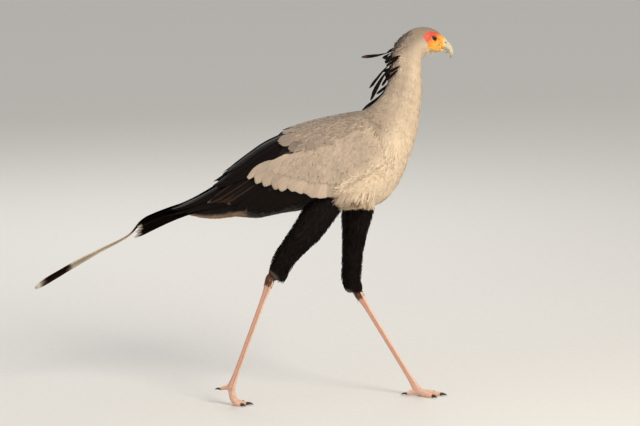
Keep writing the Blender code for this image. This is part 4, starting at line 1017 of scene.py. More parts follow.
def fringe_coat(chooser, material):
    """Long loose feathers that hang from the rear of the breast over the tops of the legs."""
    surface = trunk_rings(500, 200)

    def wanted(u, v, points):
        """Where the roots of these feathers may lie."""
        x, y, z = points.T
        return (x > 0.250) & (x < 0.344) & (z < 0.575) & (z > 0.532) & (np.abs(y) > 0.045)

    u, v, roots, _ = scatter(surface, ((0, 3.3),), chooser, wanted)
    tufts = np.stack([chooser.uniform(-6, 5, 24) * MM, chooser.normal(0, 0.20, 24)], 1)
    paths, rolls, widths = [], [], []
    for root, out in zip(roots, unit(surface.read(surface.normal, u, v))):
        side = math.copysign(1.0, root[1])
        tuft = int((root[0] + 0.35 * root[2]) / (8.5 * MM)) % len(tufts)
        low = read_keys(FRINGE_END, root[0]) + tufts[tuft, 0] + chooser.normal(0, 3.0 * MM)
        length = min(max(root[2] - low, 11 * MM), 34 * MM)
        down = unit(np.array([-0.50 + tufts[tuft, 1] + chooser.normal(0, 0.12), 0.0, -1.0]))
        middle = root + out * chooser.uniform(1.5, 3.0) * MM + down * 0.45 * length
        middle[1] = side * max(abs(middle[1]), abs(root[1]))
        end = root + down * length
        end[1] = side * (max(abs(root[1]), 0.078) + chooser.uniform(1.0, 4.0) * MM)
        paths.append([root - out * 1.0 * MM, middle, end])
        rolls.append(unit(np.array([1.0, chooser.normal(0, 0.15), -0.42])))
        widths.append(chooser.uniform(2.4, 4.2) * MM)
    batch = free_vanes(paths, widths, rolls, chooser, FRINGE_VANE, camber=0.1)
    marks = np.zeros((len(u), 3))
    marks[:, 1] = 0.30 + 0.62 * ease(0.262, 0.318, roots[:, 0]) + chooser.normal(0, 0.08, len(u))
    return coat_piece("coat_fringe", batch, marks, chooser, u / NECK_START, v, material)


def mantle_coat(chooser, material):
    """Feathers of the neck's base and the breast that flow over the front edge of each wing."""
    surface = trunk_rings(500, 200)

    def wanted(u, v, points):
        """Where the roots of these feathers may lie."""
        behind = behind_border(points[:, 0], points[:, 2])
        return (behind > -25 * MM) & (behind < 2 * MM) & (np.abs(points[:, 1]) > 0.030)

    u, v, roots, _ = scatter(surface, ((0, 2.9),), chooser, wanted)
    count = len(u)
    tufts = chooser.uniform(-1, 1, (2, 32))
    tuft = ((0.6 * roots[:, 0] + roots[:, 2]) / (8 * MM) + 16 * (roots[:, 1] > 0)).astype(int) % 32
    length = chooser.uniform(21, 31, count) + 8 * np.maximum(tufts[0, tuft], 0)
    turn = np.pi + 0.16 * tufts[1, tuft] * np.sign(roots[:, 1]) + chooser.normal(0, 0.10, count)
    batch = lay_vanes(
        surface, u, v, turn, length * MM, chooser.uniform(2.8, 4.4, count) * MM,
        chooser.uniform(0.6, 2.2, count) * MM, chooser, MANTLE_VANE, stations=7, ragged=0.05, twist=0.08,
        hug=1.0)
    x, y, z = np.moveaxis(batch["points"], -1, 0)
    centre, tall, half = wing_oval(wing_surface(), np.clip((WING_FRONT - x) / WING_LENGTH, 0, 1))
    wing_y = half * np.sqrt(np.clip(1 - ((z - centre) / tall) ** 2, 0, 1))
    over = chooser.uniform(0.5, 2.2, (count, 1, 1)) * MM
    lift = np.maximum(wing_y + over - np.abs(y), 0) * ease(-15 * MM, 1 * MM, behind_border(x, z))
    marks = trunk_marks(u, v, roots)
    pale = ease(0.50, 0.25, marks[:, 0])[:, None, None]
    batch["points"][..., 1] = y + np.sign(y) * lift * ease(0.0, 0.4, batch["t"]) * pale
    return coat_piece("coat_mantle", batch, marks, chooser, u, v, material)


def wing_row(surface, row, chooser, first, total):
    """One row of long feathers on the right wing."""
    name, first_width, width, count, root_depth, tip_depth, lift, deeper, hug, roots, tips = row
    share = np.linspace(0, 1, count)
    jitter = chooser.normal(0, 2.6 * MM if name in ("secondary", "greater_covert") else 1.0 * MM, (2, count))
    u, v = wing_spot(surface, *along_rows(roots, share).T)
    end_u, end_v = wing_spot(surface, *(along_rows(tips, share).T + jitter))
    across = (end_v - v) * WING_REACH
    run = (end_u - u) * WING_LENGTH
    order = np.arange(count)
    depth = order * deeper
    long = name in BLACK_ROWS
    batch = lay_vanes(
        surface, u, v, np.arctan2(across, run), np.hypot(across, run),
        np.where(order == 0, first_width, width), -tip_depth - depth, chooser,
        LONG_VANE if long else SHORT_VANE, stations=18, columns=9, ragged=0.012,
        sink=(root_depth + depth)[:, None, None], camber=0.035, tilt=lift, twist=0.02,
        metric=(WING_LENGTH, WING_REACH), tip=0.05 if long else 0.04, ridge=(0.5 if long else 0.25) * MM,
        hug=hug)
    plain = (1, 0, 0) if long else (0.26, 0, 0) if name == "scapular" else (0, 0.25, 0)
    marks = np.zeros(batch["points"].shape) + plain
    if name == "secondary":
        tipped = ease(0.955, 0.985, batch["t"]) * (order % 3 == 0)[:, None, None]
        edged = ease(0.45, 0.75, np.abs(batch["s"])) * (order < 3)[:, None, None]
        marks[..., 0] -= 0.45 * tipped + 0.22 * edged
        marks[..., 2] = edged
    return dress(batch, marks, chooser, strip_places(batch, first, total), 1.0 if long else 2.0)


def small_coverts(surface, chooser):
    """Small coverts over the front of the right wing, down to its rows of larger ones."""

    def wanted(u, v, points):
        """Where the roots of these feathers may lie."""
        x, _, z = points.T
        down = v * WING_REACH >= read_keys(WING_TOP, x)
        above = (z > read_keys(COVERT_EDGE, x) - 17 * MM) | (v < 0.2)
        clear = behind_border(x, z) > read_keys(((0.60, 12 * MM), (0.65, 8 * MM), (0.69, -20 * MM)), z)
        return down & above & (x > read_keys(COVERT_REAR, z)) & clear & (x < 0.386)

    u, v, roots, size = scatter(surface, ((0.0, 4.4), (0.1, 5.4), (0.3, 7.0), (0.5, 8.5)), chooser, wanted)
    count = len(u)
    way_down = v * WING_REACH
    steep = np.radians(read_keys(COVERT_LIE, roots[:, 0])) * (0.30 + 0.70 * ease(0.05, 0.16, way_down))
    batch = lay_vanes(
        surface, u, v, steep + chooser.normal(0, 0.06, count), size * chooser.uniform(3.4, 4.4, count),
        size * chooser.uniform(1.5, 1.9, count), 0.35 * MM * chooser.uniform(0.6, 1.5, count), chooser,
        SOFT_VANE, stations=6, columns=5, ragged=0.05, sink=1.3 * MM, camber=0.03, twist=0.015,
        metric=(WING_LENGTH, WING_REACH), tip=0.22, hug=0.4)
    marks = np.zeros((count, 3))
    marks[:, 0] = 0.30 * ease(0.070, 0.010, way_down) + chooser.normal(0, 0.02, count)
    low = ease(0.015, 0.090, way_down)
    front = ease(40 * MM, 8 * MM, behind_border(roots[:, 0], roots[:, 2]))
    marks[:, 1] = 0.12 + 0.10 * low + 0.55 * front + chooser.normal(0, 0.04, count)
    return dress(batch, marks.clip(0, 1), chooser, patch_places(batch, u, v))


def scapulars(surface, chooser):
    """Larger soft feathers that hang from beside the back over the root of the right wing."""

    def wanted(u, v, points):
        """Where the roots of these feathers may lie."""
        x, _, z = points.T
        down = v * WING_REACH >= read_keys(WING_TOP, x)
        return down & (z > read_keys(SCAPULAR_EDGE, x)) & (x > 0.150) & (x < 0.335)

    u, v, _, size = scatter(surface, ((0.1, 7.5), (0.5, 9.5)), chooser, wanted)
    count = len(u)
    turn = 0.30 + 0.25 * ease(0.02, 0.10, v * WING_REACH) + chooser.normal(0, 0.05, count)
    batch = lay_vanes(
        surface, u, v, turn, size * chooser.uniform(3.6, 4.8, count), size * chooser.uniform(1.3, 1.6, count),
        1.1 * MM * chooser.uniform(0.7, 1.4, count), chooser, SOFT_VANE, stations=8, columns=7, ragged=0.04,
        sink=3.0 * MM, camber=0.05, twist=0.03, metric=(WING_LENGTH, WING_REACH), ridge=0.2 * MM, hug=0.5)
    marks = np.zeros((count, 3))
    marks[:, 0] = 0.14 + 0.20 * ease(0.060, 0.010, v * WING_REACH) + chooser.normal(0, 0.03, count)
    return dress(batch, marks.clip(0, 1), chooser, patch_places(batch, u, v))


def thicken(piece, thickness):
    """Give the vanes of long feathers their thickness, half to each side."""
    wall = piece.modifiers.new("thickness", "SOLIDIFY")
    wall.thickness = thickness
    wall.offset = 0.0
    wall.use_even_offset = False
    finish(piece)


def make_wings(covert_material, flight_material):
    """Feathers of both wings, small ones and long ones, the left a mirror of the right."""
    surface = wing_surface()
    chooser = np.random.default_rng(31)
    small = [small_coverts(surface, chooser), scapulars(surface, chooser)]
    rows = {True: [], False: []}
    for row in WING_ROWS:
        black = row[0] in BLACK_ROWS
        first = sum(len(batch["points"]) for batch in rows[black])
        total = sum(other[3] for other in WING_ROWS if (other[0] in BLACK_ROWS) == black)
        rows[black].append(wing_row(surface, row, chooser, first, total))
    pieces = []
    for side_name, sign in SIDES:
        node = f"wing_{side_name}"
        coverts = vanes_object(f"{node}_coverts", small, covert_material, sign > 0)
        large = vanes_object(f"{node}_large_coverts", rows[False], covert_material, sign > 0)
        flight = vanes_object(f"{node}_flight", rows[True], flight_material, sign > 0)
        thicken(large, 0.3 * MM)
        thicken(flight, 0.35 * MM)
        pieces += [(piece, "wing_plumage", (node,)) for piece in (coverts, large, flight)]
    return pieces


def tail_marks(batch, central):
    """Black tail feathers with white tips; the long central ones grey with a black band."""
    x = batch["points"][..., 0]
    if not central:
        return np.stack([1 - ease(0.935, 0.965, batch["t"]) + 0 * x, 1 + 0 * x, 0 * x], -1)
    band = ease(-0.452, -0.462, x) * ease(-0.530, -0.522, x)
    mottle = 0.10 * (np.sin(x * 700) * np.sin(batch["s"] * 9 + x * 260) > 0.35)
    black = np.maximum(0.86 * band + mottle, ease(-0.298, -0.284, x)).clip(0, 1)
    return np.stack([black, 0.85 + 0.15 * ease(-0.524, -0.532, x), band], -1)


def make_tail(material):
    """Folded tail: stacked black feathers, with the long central pair on top."""
    chooser = np.random.default_rng(41)
    paths, rolls, central = [], [], []
    for side in (1, -1):
        for pair in range(RECTRIX_PAIRS):
            out = side * (RECTRIX_FIRST_OUT + RECTRIX_STEP_OUT * pair)
            path = np.array([(x, out * spread, z - step * pair) for (x, z), step, spread
                             in zip(RECTRIX_PATH, RECTRIX_STEPS, RECTRIX_SPREAD)])
            path[-1, 0] += 0.004 * (pair % 2) - 0.002 * pair
            paths.append(path)
            rolls.append((0, 1, -RECTRIX_LEAN * side))
    batch = free_vanes(paths, [RECTRIX_WIDTH] * len(paths), rolls, chooser, LONG_VANE, stations=22, columns=9,
                       camber=0.05, ridge=0.5 * MM, ragged=0.015)
    total = len(paths) + 2
    dress(batch, tail_marks(batch, False), chooser, strip_places(batch, 0, total))
    for side, lift, short in ((1, 4.6 * MM, 12 * MM), (-1, 0.0, 0.0)):
        path = np.array([(x, side * 0.005, z + lift * read_keys(CENTRAL_APART, x)) for x, z in CENTRAL_TAIL])
        path[-1] += (short, 0, short * 0.6)
        central.append(path)
    leans = [np.array(CENTRAL_LEANS) * (1, 1, side) for side in (1, -1)]
    long = free_vanes(central, [0.034] * 2, leans, chooser, CENTRAL_VANE, stations=60, columns=9, camber=0.10,
                      ridge=0.7 * MM, ragged=0.02)
    dress(long, tail_marks(long, True), chooser, strip_places(long, len(paths), total))
    tail = vanes_object("tail_feathers", [batch, long], material)
    thicken(tail, 0.5 * MM)
    return [(tail, "tail_plumage", ("tail",))]


def make_crest(material):
    """Black spoon-shaped feathers that hang from the nape."""
    chooser = np.random.default_rng(51)
    paths, rolls = [], []
    for x, z, lean, length, bend, step, _ in CREST:
        c, s = math.cos(math.radians(lean)), math.sin(math.radians(lean))
        along, under, aside = np.array([-c, 0, -s]), np.array([s, 0, -c]), ACROSS * step
        root = np.array([x + 0.006, 0, z]) + 0.6 * aside
        paths.append([root, root + along * length * 0.5 - under * bend + aside / 2,
                      root + along * length + aside])
        roll = math.radians(50 if step > 0 else -50)
        rolls.append(ACROSS * math.cos(roll) + under * math.sin(roll))
    batch = free_vanes(paths, [row[-1] for row in CREST], rolls, chooser, SPOON_VANE, stations=20, columns=7,
                       camber=0.10, ridge=0.3 * MM, ragged=0.06)
    pale_tip = ease(0.82, 0.95, batch["t"])
    marks = np.zeros(batch["points"].shape) + (1, 0, 0)
    marks[0, ..., 0] = 1 - 0.4 * pale_tip
    marks[0, ..., 2] = pale_tip
    total = len(paths) + 2 * len(NAPE_SPOTS)
    dress(batch, marks, chooser, strip_places(batch, 0, total))
    paths, rolls = [], []
    for side in (-1, 1):
        for x, z, end_x, end_z, wide, end_wide in NAPE_SPOTS:
            root = np.array([x, side * wide, z])
            end = np.array([end_x, side * end_wide, end_z])
            paths.append([root, (root + end) / 2 + ACROSS * side * 3.5 * MM, end])
            rolls.append(unit(np.array([0.4, side * 0.5, -1.0])))
    spots = free_vanes(paths, [0.0075] * len(paths), rolls, chooser, SPOT_VANE, stations=10, columns=5,
                       camber=0.10, ragged=0.08)
    dress(spots, np.tile((1.0, 0.0, 0.0), (len(paths), 1)), chooser, strip_places(spots, len(CREST), total))
    crest = vanes_object("crest_feathers", [batch, spots], material)
    thicken(crest, 0.3 * MM)
    return [(crest, "black_plumage", ("crest",))]


def make_bill(material):
    """Upper and lower bill: cere and horn in one loft, nostrils sunk, edges drawn in."""
    shares = np.linspace(0, 1, 110)
    surface = Surface(section_rings(UPPER_BILL, shares, 96, 2.2))
    x, y, z = np.moveaxis(surface.rings, -1, 0)
    dx, dz = x - NOSTRIL[0], z - NOSTRIL[1]
    c, s = math.cos(NOSTRIL_SLANT), math.sin(NOSTRIL_SLANT)
    far = np.hypot((dx * c - dz * s) / NOSTRIL_HALF[0], (dx * s + dz * c) / NOSTRIL_HALF[1])
    flank = ease(1.5 * MM, 4 * MM, np.abs(y))
    # nostril also darkens the dent in the material: painted shade of the opening
    nostril = np.exp(-far**4) * flank
    height = 0.25 * MM * np.exp(-((far - 1.7) / 0.5) ** 2) * flank - NOSTRIL_DEPTH * nostril
    cere = ease(0.5285, 0.5150, x - (z - 0.9550) * 0.10)
    height += 0.35 * MM * ease(0.25, 0.6, cere)
    upper = closed_piece("bill_upper_horn", surface.rings + surface.normal * height[..., None], material,
                         {"cere": cere, "nostril": nostril, "shade": ease(0.930, 0.913, z)})
    rings = section_rings(LOWER_BILL, shares, 80, 2.2)
    cere, shade = ease(0.520, 0.513, rings[..., 0]), 0.45 + 0.35 * ease(0.518, 0.532, rings[..., 0])
    lower = closed_piece("bill_lower_horn", rings, material, {"cere": cere, "shade": shade})
    return [(upper, "bill", ("bill_upper",)), (lower, "bill", ("bill_lower",))]


def make_eyes(material):
    """Eyeballs with the pupil and iris marked by how far each point lies from the eye's axis."""
    made = []
    angles = np.linspace(0, np.pi, 64)[:, None, None]
    turn = 2 * np.pi * np.arange(72)[:, None] / 72
    radial = EYE_RADIUS * np.sin(angles)
    bulge = 0.5 * MM * ease(IRIS_RADIUS * 1.1, 0, radial) * (angles < np.pi / 2)
    deep = EYE_RADIUS * np.cos(angles) + bulge
    out = np.where(angles < np.pi / 2, radial, 2 * EYE_RADIUS) * np.ones((72, 1))
    for side_name, sign in SIDES:
        way = unit(np.array(EYE_FACING)) * (1, sign, 1)
        first = unit(np.cross(way, UP))
        spread = first * np.cos(turn) + np.cross(way, first) * np.sin(turn)
        rings = np.array(EYE_CENTRE) * (1, sign, 1) + way * deep + spread * radial
        eye = closed_piece(f"eye_{side_name}_ball", rings[1:-1], material, {"out": out[1:-1] / MM})
        made.append((eye, "eye", (f"eye_{side_name}",)))
    return made


def tree_of(piece):
    """Search tree over a piece's faces."""
    shape = bmesh.new()
    shape.from_mesh(piece.data)
    tree = BVHTree.FromBMesh(shape)
    shape.free()
    return tree


def skin_spot(skin_tree, x, z, sign):
    """Point of the skin at x and z on one side of the head, or None."""
    return skin_tree.ray_cast(Vector((x, sign * 0.08, z)), Vector((0, -sign, 0)))[0]


def lid_rings(skin_tree, sign):
    """Rings of the lids, from the rim of the opening out to where they sink into the skin."""
    angle = 2 * np.pi * np.arange(96) / 96
    c, s = np.cos(angle), np.sin(angle)
    half, above, below = LID_OPENING
    opening_z = np.where(s > 0, above, below) * s - 0.6 * MM * c
    rings = []
    for share in LID_SHARES:
        out = max(share, 0)
        x = EYE_CENTRE[0] + half * c * (1 - out) + LID_REACH * c * out
        z = EYE_CENTRE[2] + opening_z * (1 - out) + LID_REACH * 0.92 * s * out
        r = np.hypot(x - EYE_CENTRE[0], z - EYE_CENTRE[2])
        ball = EYE_CENTRE[1] + np.sqrt(np.maximum((EYE_RADIUS + 0.75 * MM) ** 2 - r**2, (2.5 * MM) ** 2))
        hits = [skin_spot(skin_tree, *place, sign) for place in zip(x, z)]
        skin = np.array([abs(hit.y) if hit else 0.012 for hit in hits])
        blend = ease(0.15, 0.95, out)
        swell = LID_SWELL * math.sin(math.pi * min(out / 0.6, 1)) * 0.6
        y = ball * (1 - blend) + (skin - 0.4 * MM * ease(0.8, 1.0, out)) * blend + swell
        y = y + min(share, 0) * 4.5 * MM
        rings.append(np.stack([x, sign * y, z], -1))
    return np.array(rings)


def make_lids(skin_tree, material):
    """Eyelids: a dark rim round the opening, folded skin out to the face."""
    made = []
    shares = np.array(LID_SHARES)[:, None, None]
    for side_name, sign in SIDES:
        rings = lid_rings(skin_tree, sign)
        normal = Surface(rings).normal
        folds = 0.16 * MM * np.sin(shares * 34) * ease(0.1, 0.3, shares)
        rings = rings + normal * folds * (1 if normal[5, 0, 1] * sign > 0 else -1)
        points = rings.reshape(-1, 3)
        mesh = mesh_of_quads(f"lids_{side_name}", points, quads_over(rings))
        set_colours(mesh, "face", face_colours(points) * (0, 1, 1) + (1, 0, 0))
        set_numbers(mesh, "rim", ease(0.42, 0.10, shares) * np.ones((96, 1)))
        set_colours(mesh, "marks", 0 * points)
        outwards(mesh)
        if mesh.polygons[len(mesh.polygons) // 2].normal.y * sign < 0:
            mesh.flip_normals()
        made.append((link(f"lids_{side_name}", mesh, material), "head_plumage", ("head",)))
    return made


def toe_way(side_name, toe):
    """Level way along a toe; the last is the hind toe."""
    sign = SIGNS[side_name]
    if toe == 3:
        return unit(np.array([-1.0, -0.25 * sign, 0.0]))
    spread = math.radians(TOE_SPREAD[toe]) * sign
    return np.array([math.cos(spread), math.sin(spread), 0.0])


def toe_rows(side_name, toe):
    """Rows of x, y, z, half depth and half width along one toe, from the foot's joint."""
    joint_x, joint_z = TOE_JOINTS[side_name]
    pushing = side_name == "right"
    if toe == 3:
        reaches, sizes = HIND_TOE_REACH, HIND_TOE_SIZES
        first, last, rise = 0.0125, 0.0078, 0.0
        if pushing:
            first, last, rise = joint_z - 0.003, joint_z - 0.0095, PUSHING_HIND_TOE_RISE
        heights = np.linspace(first, last, len(reaches)) + rise
    else:
        shares, heights = zip(*(PUSHING_TOE if pushing else FLAT_TOE))
        reaches, sizes = [TOE_LENGTHS[toe] * share for share in shares], TOE_SIZES
    way = toe_way(side_name, toe)
    y = SIGNS[side_name] * FOOT_SIDES[side_name]
    return [(joint_x + way[0] * reach, y + way[1] * reach, height, depth, width)
            for reach, height, (depth, width) in zip(reaches, heights, sizes)]


def leg_ends(side_name):
    """Middle of the hock and of the toes' joint of one leg."""
    return [np.array([x, SIGNS[side_name] * aside, z]) for (x, z), aside in (
        (HOCKS[side_name], HOCK_SIDE), (TOE_JOINTS[side_name], FOOT_SIDES[side_name]))]


def leg_frame(side_name):
    """Ends of one shank, the way down it and the way out to its front."""
    top, end = leg_ends(side_name)
    way = unit(end - top)
    front = np.cross(way, unit(ACROSS - way * way[1]))
    return top, end, way, front * math.copysign(1.0, front[0])


def leg_rows(side_name):
    """Rows of x, y, z, half depth and half width from inside the thigh down the shank."""
    top, end = leg_ends(side_name)
    before, above = [np.array(row[:3]) for row in thigh_rows(side_name)[-2:]]
    start = above + unit(before - above) * 12 * MM
    rows = [(*start, 8 * MM, 8 * MM), (*((start + top) / 2), 10.5 * MM, 9.6 * MM)]
    return rows + [(*(top + (end - top) * share), depth, width) for share, depth, width in SHANK]


def leg_rings(side_name):
    """Rings of every part of one bare leg: shank, foot and toes."""
    top, end = leg_ends(side_name)
    foot = [(*(end + (top - end) * 0.02), 9.8 * MM, 10.2 * MM), (*end, FOOT_RADIUS, FOOT_RADIUS),
            (*(end - (top - end) * 0.012), 8.5 * MM, 9.5 * MM)]
    toes = [swell_toes(limb_rings(toe_rows(side_name, toe), 60, 28), toe) for toe in range(4)]
    return [limb_rings(leg_rows(side_name), 160, 40), limb_rings(foot, 12, 32), *toes]


def swell_toes(rings, toe):
    """Pads under a toe: fuller at its joints, drawn in between."""
    shares = np.linspace(0, 1, len(rings))
    pads = (0.0, 0.36, 0.66, 0.93) if toe < 3 else (0.15, 0.85)
    bulge = sum(np.exp(-((shares - pad) / 0.10) ** 2) for pad in pads)
    centre = rings.mean(1, keepdims=True)
    scale = 0.93 + 0.13 * np.clip(bulge, 0, 1)
    return centre + (rings - centre) * scale[:, None, None]


def read_points(mesh, label):
    """Place or normal of each point of a mesh."""
    values = np.zeros(len(mesh.vertices) * 3, np.float32)
    mesh.vertices.foreach_get(label, values)
    return values.reshape(-1, 3)


def make_legs(material):
    """Bare legs, each fused from its lofts into one skin, with the soles flat on the ground."""
    made = []
    for side_name, _ in SIDES:
        shells, start = [], 0
        for rings in leg_rings(side_name):
            points, quads = shell_of(rings)
            shells.append((points, quads + start))
            start += len(points)
        mesh = mesh_of_quads("leg", *[np.concatenate(column) for column in zip(*shells)])
        outwards(mesh)
        leg = link(f"leg_{side_name}", mesh, material)
        remesh = leg.modifiers.new("fuse", "REMESH")
        remesh.mode = "VOXEL"
        remesh.voxel_size = 0.9 * MM
        smooth = leg.modifiers.new("smooth", "SMOOTH")
        smooth.factor = 0.5
        smooth.iterations = 4
        finish(leg)
        points = read_points(leg.data, "co")
        z = points[:, 2]
        z = np.where(z < 0.9 * MM, np.maximum(z, 0.0) * 0.6, z)
        points[:, 2] = np.where(z < 0.45 * MM, 0.0, z)
        leg.data.vertices.foreach_set("co", points.ravel())
        leg.data.update()
        leg.data.shade_smooth()
        top, _, way, front = leg_frame(side_name)
        # front: how far each point faces the shank's front; the leg skin paints the front paler and the rear
        # darker, partly painted light and shade
        set_numbers(leg.data, "front", read_points(leg.data, "normal") @ front)
        ragged = 2.0 * MM * np.sin(points[:, 0] * 1900) * np.sin(points[:, 1] * 1300)
        set_numbers(leg.data, "hock", ease(24 * MM, 15 * MM, (points - top) @ way + ragged))
        made.append((leg, "leg_skin", (f"shank_{side_name}", f"foot_{side_name}")))
    return made


def make_claws(material):
    """Curved claws in the same places as the solid ones, with a finer loft."""
    made = []
    along = np.linspace(0, 1, 40)[:, None] * np.ones(28)
    for side_name, _ in SIDES:
        for toe, toe_name in enumerate(TOE_NAMES):
            root = np.array(toe_rows(side_name, toe)[-1][:3])
            way = toe_way(side_name, toe)
            length, size = HIND_CLAW_LENGTH, HIND_CLAW_SIZE
            if toe < 3:
                length, size = CLAW_LENGTH * TOE_LENGTHS[toe] / TOE_LENGTHS[1], CLAW_SIZE
            rows = [(*(root + way * (length * t + 0.3 * MM) + UP * size * rise), size * share,
                     0.8 * size * share) for t, rise, share in CLAW_SHAPE]
            rings = limb_rings(rows, 40, 28)
            rings[..., 2] = np.maximum(rings[..., 2], 0.05 * MM)
            name = f"claw_{side_name}_{toe_name}"
            claw = closed_piece(f"{name}_horn", rings, material, {"along": along})
            made.append((claw, "claw", (name,)))
    return made


def small_pieces_tree(name, material):
    """Geometry Nodes tree that lays copies of a small piece on the points of a mesh.

    Each point gives the way its piece points, the way it faces and its size.
    """
    tree = bpy.data.node_groups.new(name, "GeometryNodeTree")
    tree.is_modifier = True
    sockets = [tree.interface.new_socket(label, in_out=way, socket_type=f"NodeSocket{kind}")
               for label, way, kind in (
                   ("Geometry", "INPUT", "Geometry"), ("Piece", "INPUT", "Object"),
                   ("Size", "INPUT", "Float"), ("Seed", "INPUT", "Int"),
                   ("Geometry", "OUTPUT", "Geometry"))]
    sockets[2].default_value = 1.0
    sockets[3].default_value = SMALL_PIECES_SEED
    add = partial(add_node, tree)
    given = add("NodeGroupInput")
    aim, face, own = [
        add("GeometryNodeInputNamedAttribute", {"Name": label}, data_type=kind)
        for label, kind in (("aim", "FLOAT_VECTOR"), ("face", "FLOAT_VECTOR"), ("size", "FLOAT"))]
    spots = add("GeometryNodeMeshToPoints", {"Mesh": given.outputs["Geometry"]})
    piece = add("GeometryNodeObjectInfo", {"Object": given.outputs["Piece"]})
    turned = add("FunctionNodeAlignRotationToVector", {"Vector": aim}, axis="X")
    turned = add("FunctionNodeAlignRotationToVector", {"Rotation": turned, "Vector": face},
                 axis="Z", pivot_axis="X")
    # Inputs 2 and 3 are the least and the greatest number
    vary = add("FunctionNodeRandomValue", {2: 0.92, 3: 1.08, "Seed": given.outputs["Seed"]},
               data_type="FLOAT")
    scale = add("Math", (own, vary.outputs[1]), operation="MULTIPLY")
    scale = add("Math", (scale, given.outputs["Size"]), operation="MULTIPLY")
    laid = add("GeometryNodeInstanceOnPoints", {
        "Points": spots, "Instance": piece.outputs["Geometry"], "Rotation": turned, "Scale": scale})
    real = add("GeometryNodeRealizeInstances", {"Geometry": laid})
    coated = add("GeometryNodeSetMaterial", {"Geometry": real, "Material": material})
    add("NodeGroupOutput", {"Geometry": coated})
    return tree


def lay_small_pieces(name, rows, piece, material):
    """One plain mesh of small pieces laid by Geometry Nodes, from rows of spot, aim, face and size."""
    spots, aims, faces, sizes = zip(*rows)
    carrier = bpy.data.meshes.new(name)
    carrier.from_pydata([tuple(map(float, spot)) for spot in spots], [], [])
    for label, values in (("aim", aims), ("face", faces)):
        layer = carrier.attributes.new(label, "FLOAT_VECTOR", "POINT")
        layer.data.foreach_set("vector", np.array(values, np.float32).ravel())
    set_numbers(carrier, "size", sizes)
    made = link(name, carrier)
    modifier = made.modifiers.new("layout", "NODES")
    modifier.node_group = small_pieces_tree(f"{name}_layout", material)
    sockets = {item.name: item.identifier for item in modifier.node_group.interface.items_tree
               if item.item_type == "SOCKET" and item.in_out == "INPUT"}
    modifier[sockets["Piece"]] = piece
    modifier[sockets["Size"]] = 1.0
    modifier[sockets["Seed"]] = SMALL_PIECES_SEED
    finish(made)
    made.data.materials.clear()
    made.data.materials.append(material)
    return made


def bristle_piece():
    """One bristle a millimetre long that tapers to its point and bends up a little."""
    t = np.linspace(0, 1, 5)
    centre = np.stack([t, 0 * t, 0.22 * t**2], 1) * MM
    radius = 0.035 * MM * (1 - 0.85 * t[:, None])
    rings = oval_rings(centre, UP * radius, ACROSS * radius, 5)
    mesh = mesh_of_quads("bristle", rings.reshape(-1, 3), quads_over(rings))
    shape = bmesh.new()
    shape.from_mesh(mesh)
    bmesh.ops.holes_fill(shape, edges=shape.edges, sides=8)
    bmesh.ops.recalc_face_normals(shape, faces=shape.faces)
    shape.to_mesh(mesh)
    shape.free()
    return link("bristle_pattern", mesh)


def scute_piece():
    """One scute a millimetre tall: a domed plate with its lower edge standing out."""
    along = np.linspace(-0.5, 0.62, 5)[:, None]
    across = np.linspace(-1, 1, 7)
    rise = np.array([-0.10, 0.02, 0.07, 0.10, -0.02])[:, None]
    points = np.stack(np.broadcast_arrays(
        along + 0.14 * (1 - np.abs(across) ** 2.5), np.sin(across * 1.15) / math.sin(1.15),
        np.cos(across * 1.15) - 1.0 + rise), -1)
    grid = np.arange(35).reshape(5, 7)
    quads = np.stack([grid[:-1, :-1], grid[1:, :-1], grid[1:, 1:], grid[:-1, 1:]], -1).reshape(-1, 4)
    return link("scute_pattern", mesh_of_quads("scute", points.reshape(-1, 3) * MM, quads))


def drop_patterns(patterns):
    """Remove the small pieces that the Geometry Nodes copied."""
    for pattern in patterns:
        mesh = pattern.data
        bpy.data.objects.remove(pattern)
        bpy.data.meshes.remove(mesh)


def make_lashes(bristle, skin_tree, material):
    """Black lashes over the eyes and fine bristles round the gape and nostrils."""
    chooser = np.random.default_rng(61)
    rows = []
    half, above, _ = LID_OPENING
    for _, sign in SIDES:
        for angle in np.radians(np.linspace(-8, 150, 28)):
            c, s = math.cos(angle), math.sin(angle)
            out_x = (half + 0.5 * MM) * c
            out_z = (above + 0.6 * MM) * s - 0.6 * MM * c
            y = EYE_CENTRE[1] + math.sqrt((EYE_RADIUS + 0.7 * MM) ** 2 - out_x**2 - out_z**2)
            rows.append(((EYE_CENTRE[0] + out_x, sign * y, EYE_CENTRE[2] + out_z),
                         (0.55 * c + 0.25, sign * 0.95, 0.30 + 0.35 * s), (0, 0, 1),
                         chooser.uniform(4.2, 5.6) + 1.4 * max(c, 0)))
        for _ in range(60):
            x = chooser.uniform(0.502, 0.516)
            z = 0.9445 + 0.018 * chooser.uniform() + (x - 0.502) * 0.4
            hit = skin_spot(skin_tree, x, z, sign)
            if hit is not None:
                rows.append(((x, hit.y - sign * 0.2 * MM, z),
                             (0.9, sign * chooser.uniform(0.25, 0.6), chooser.uniform(-0.7, 0.1)),
                             (0, sign, 0.2), chooser.uniform(2.2, 4.2)))
    return lay_small_pieces("face_bristles", rows, bristle, material)


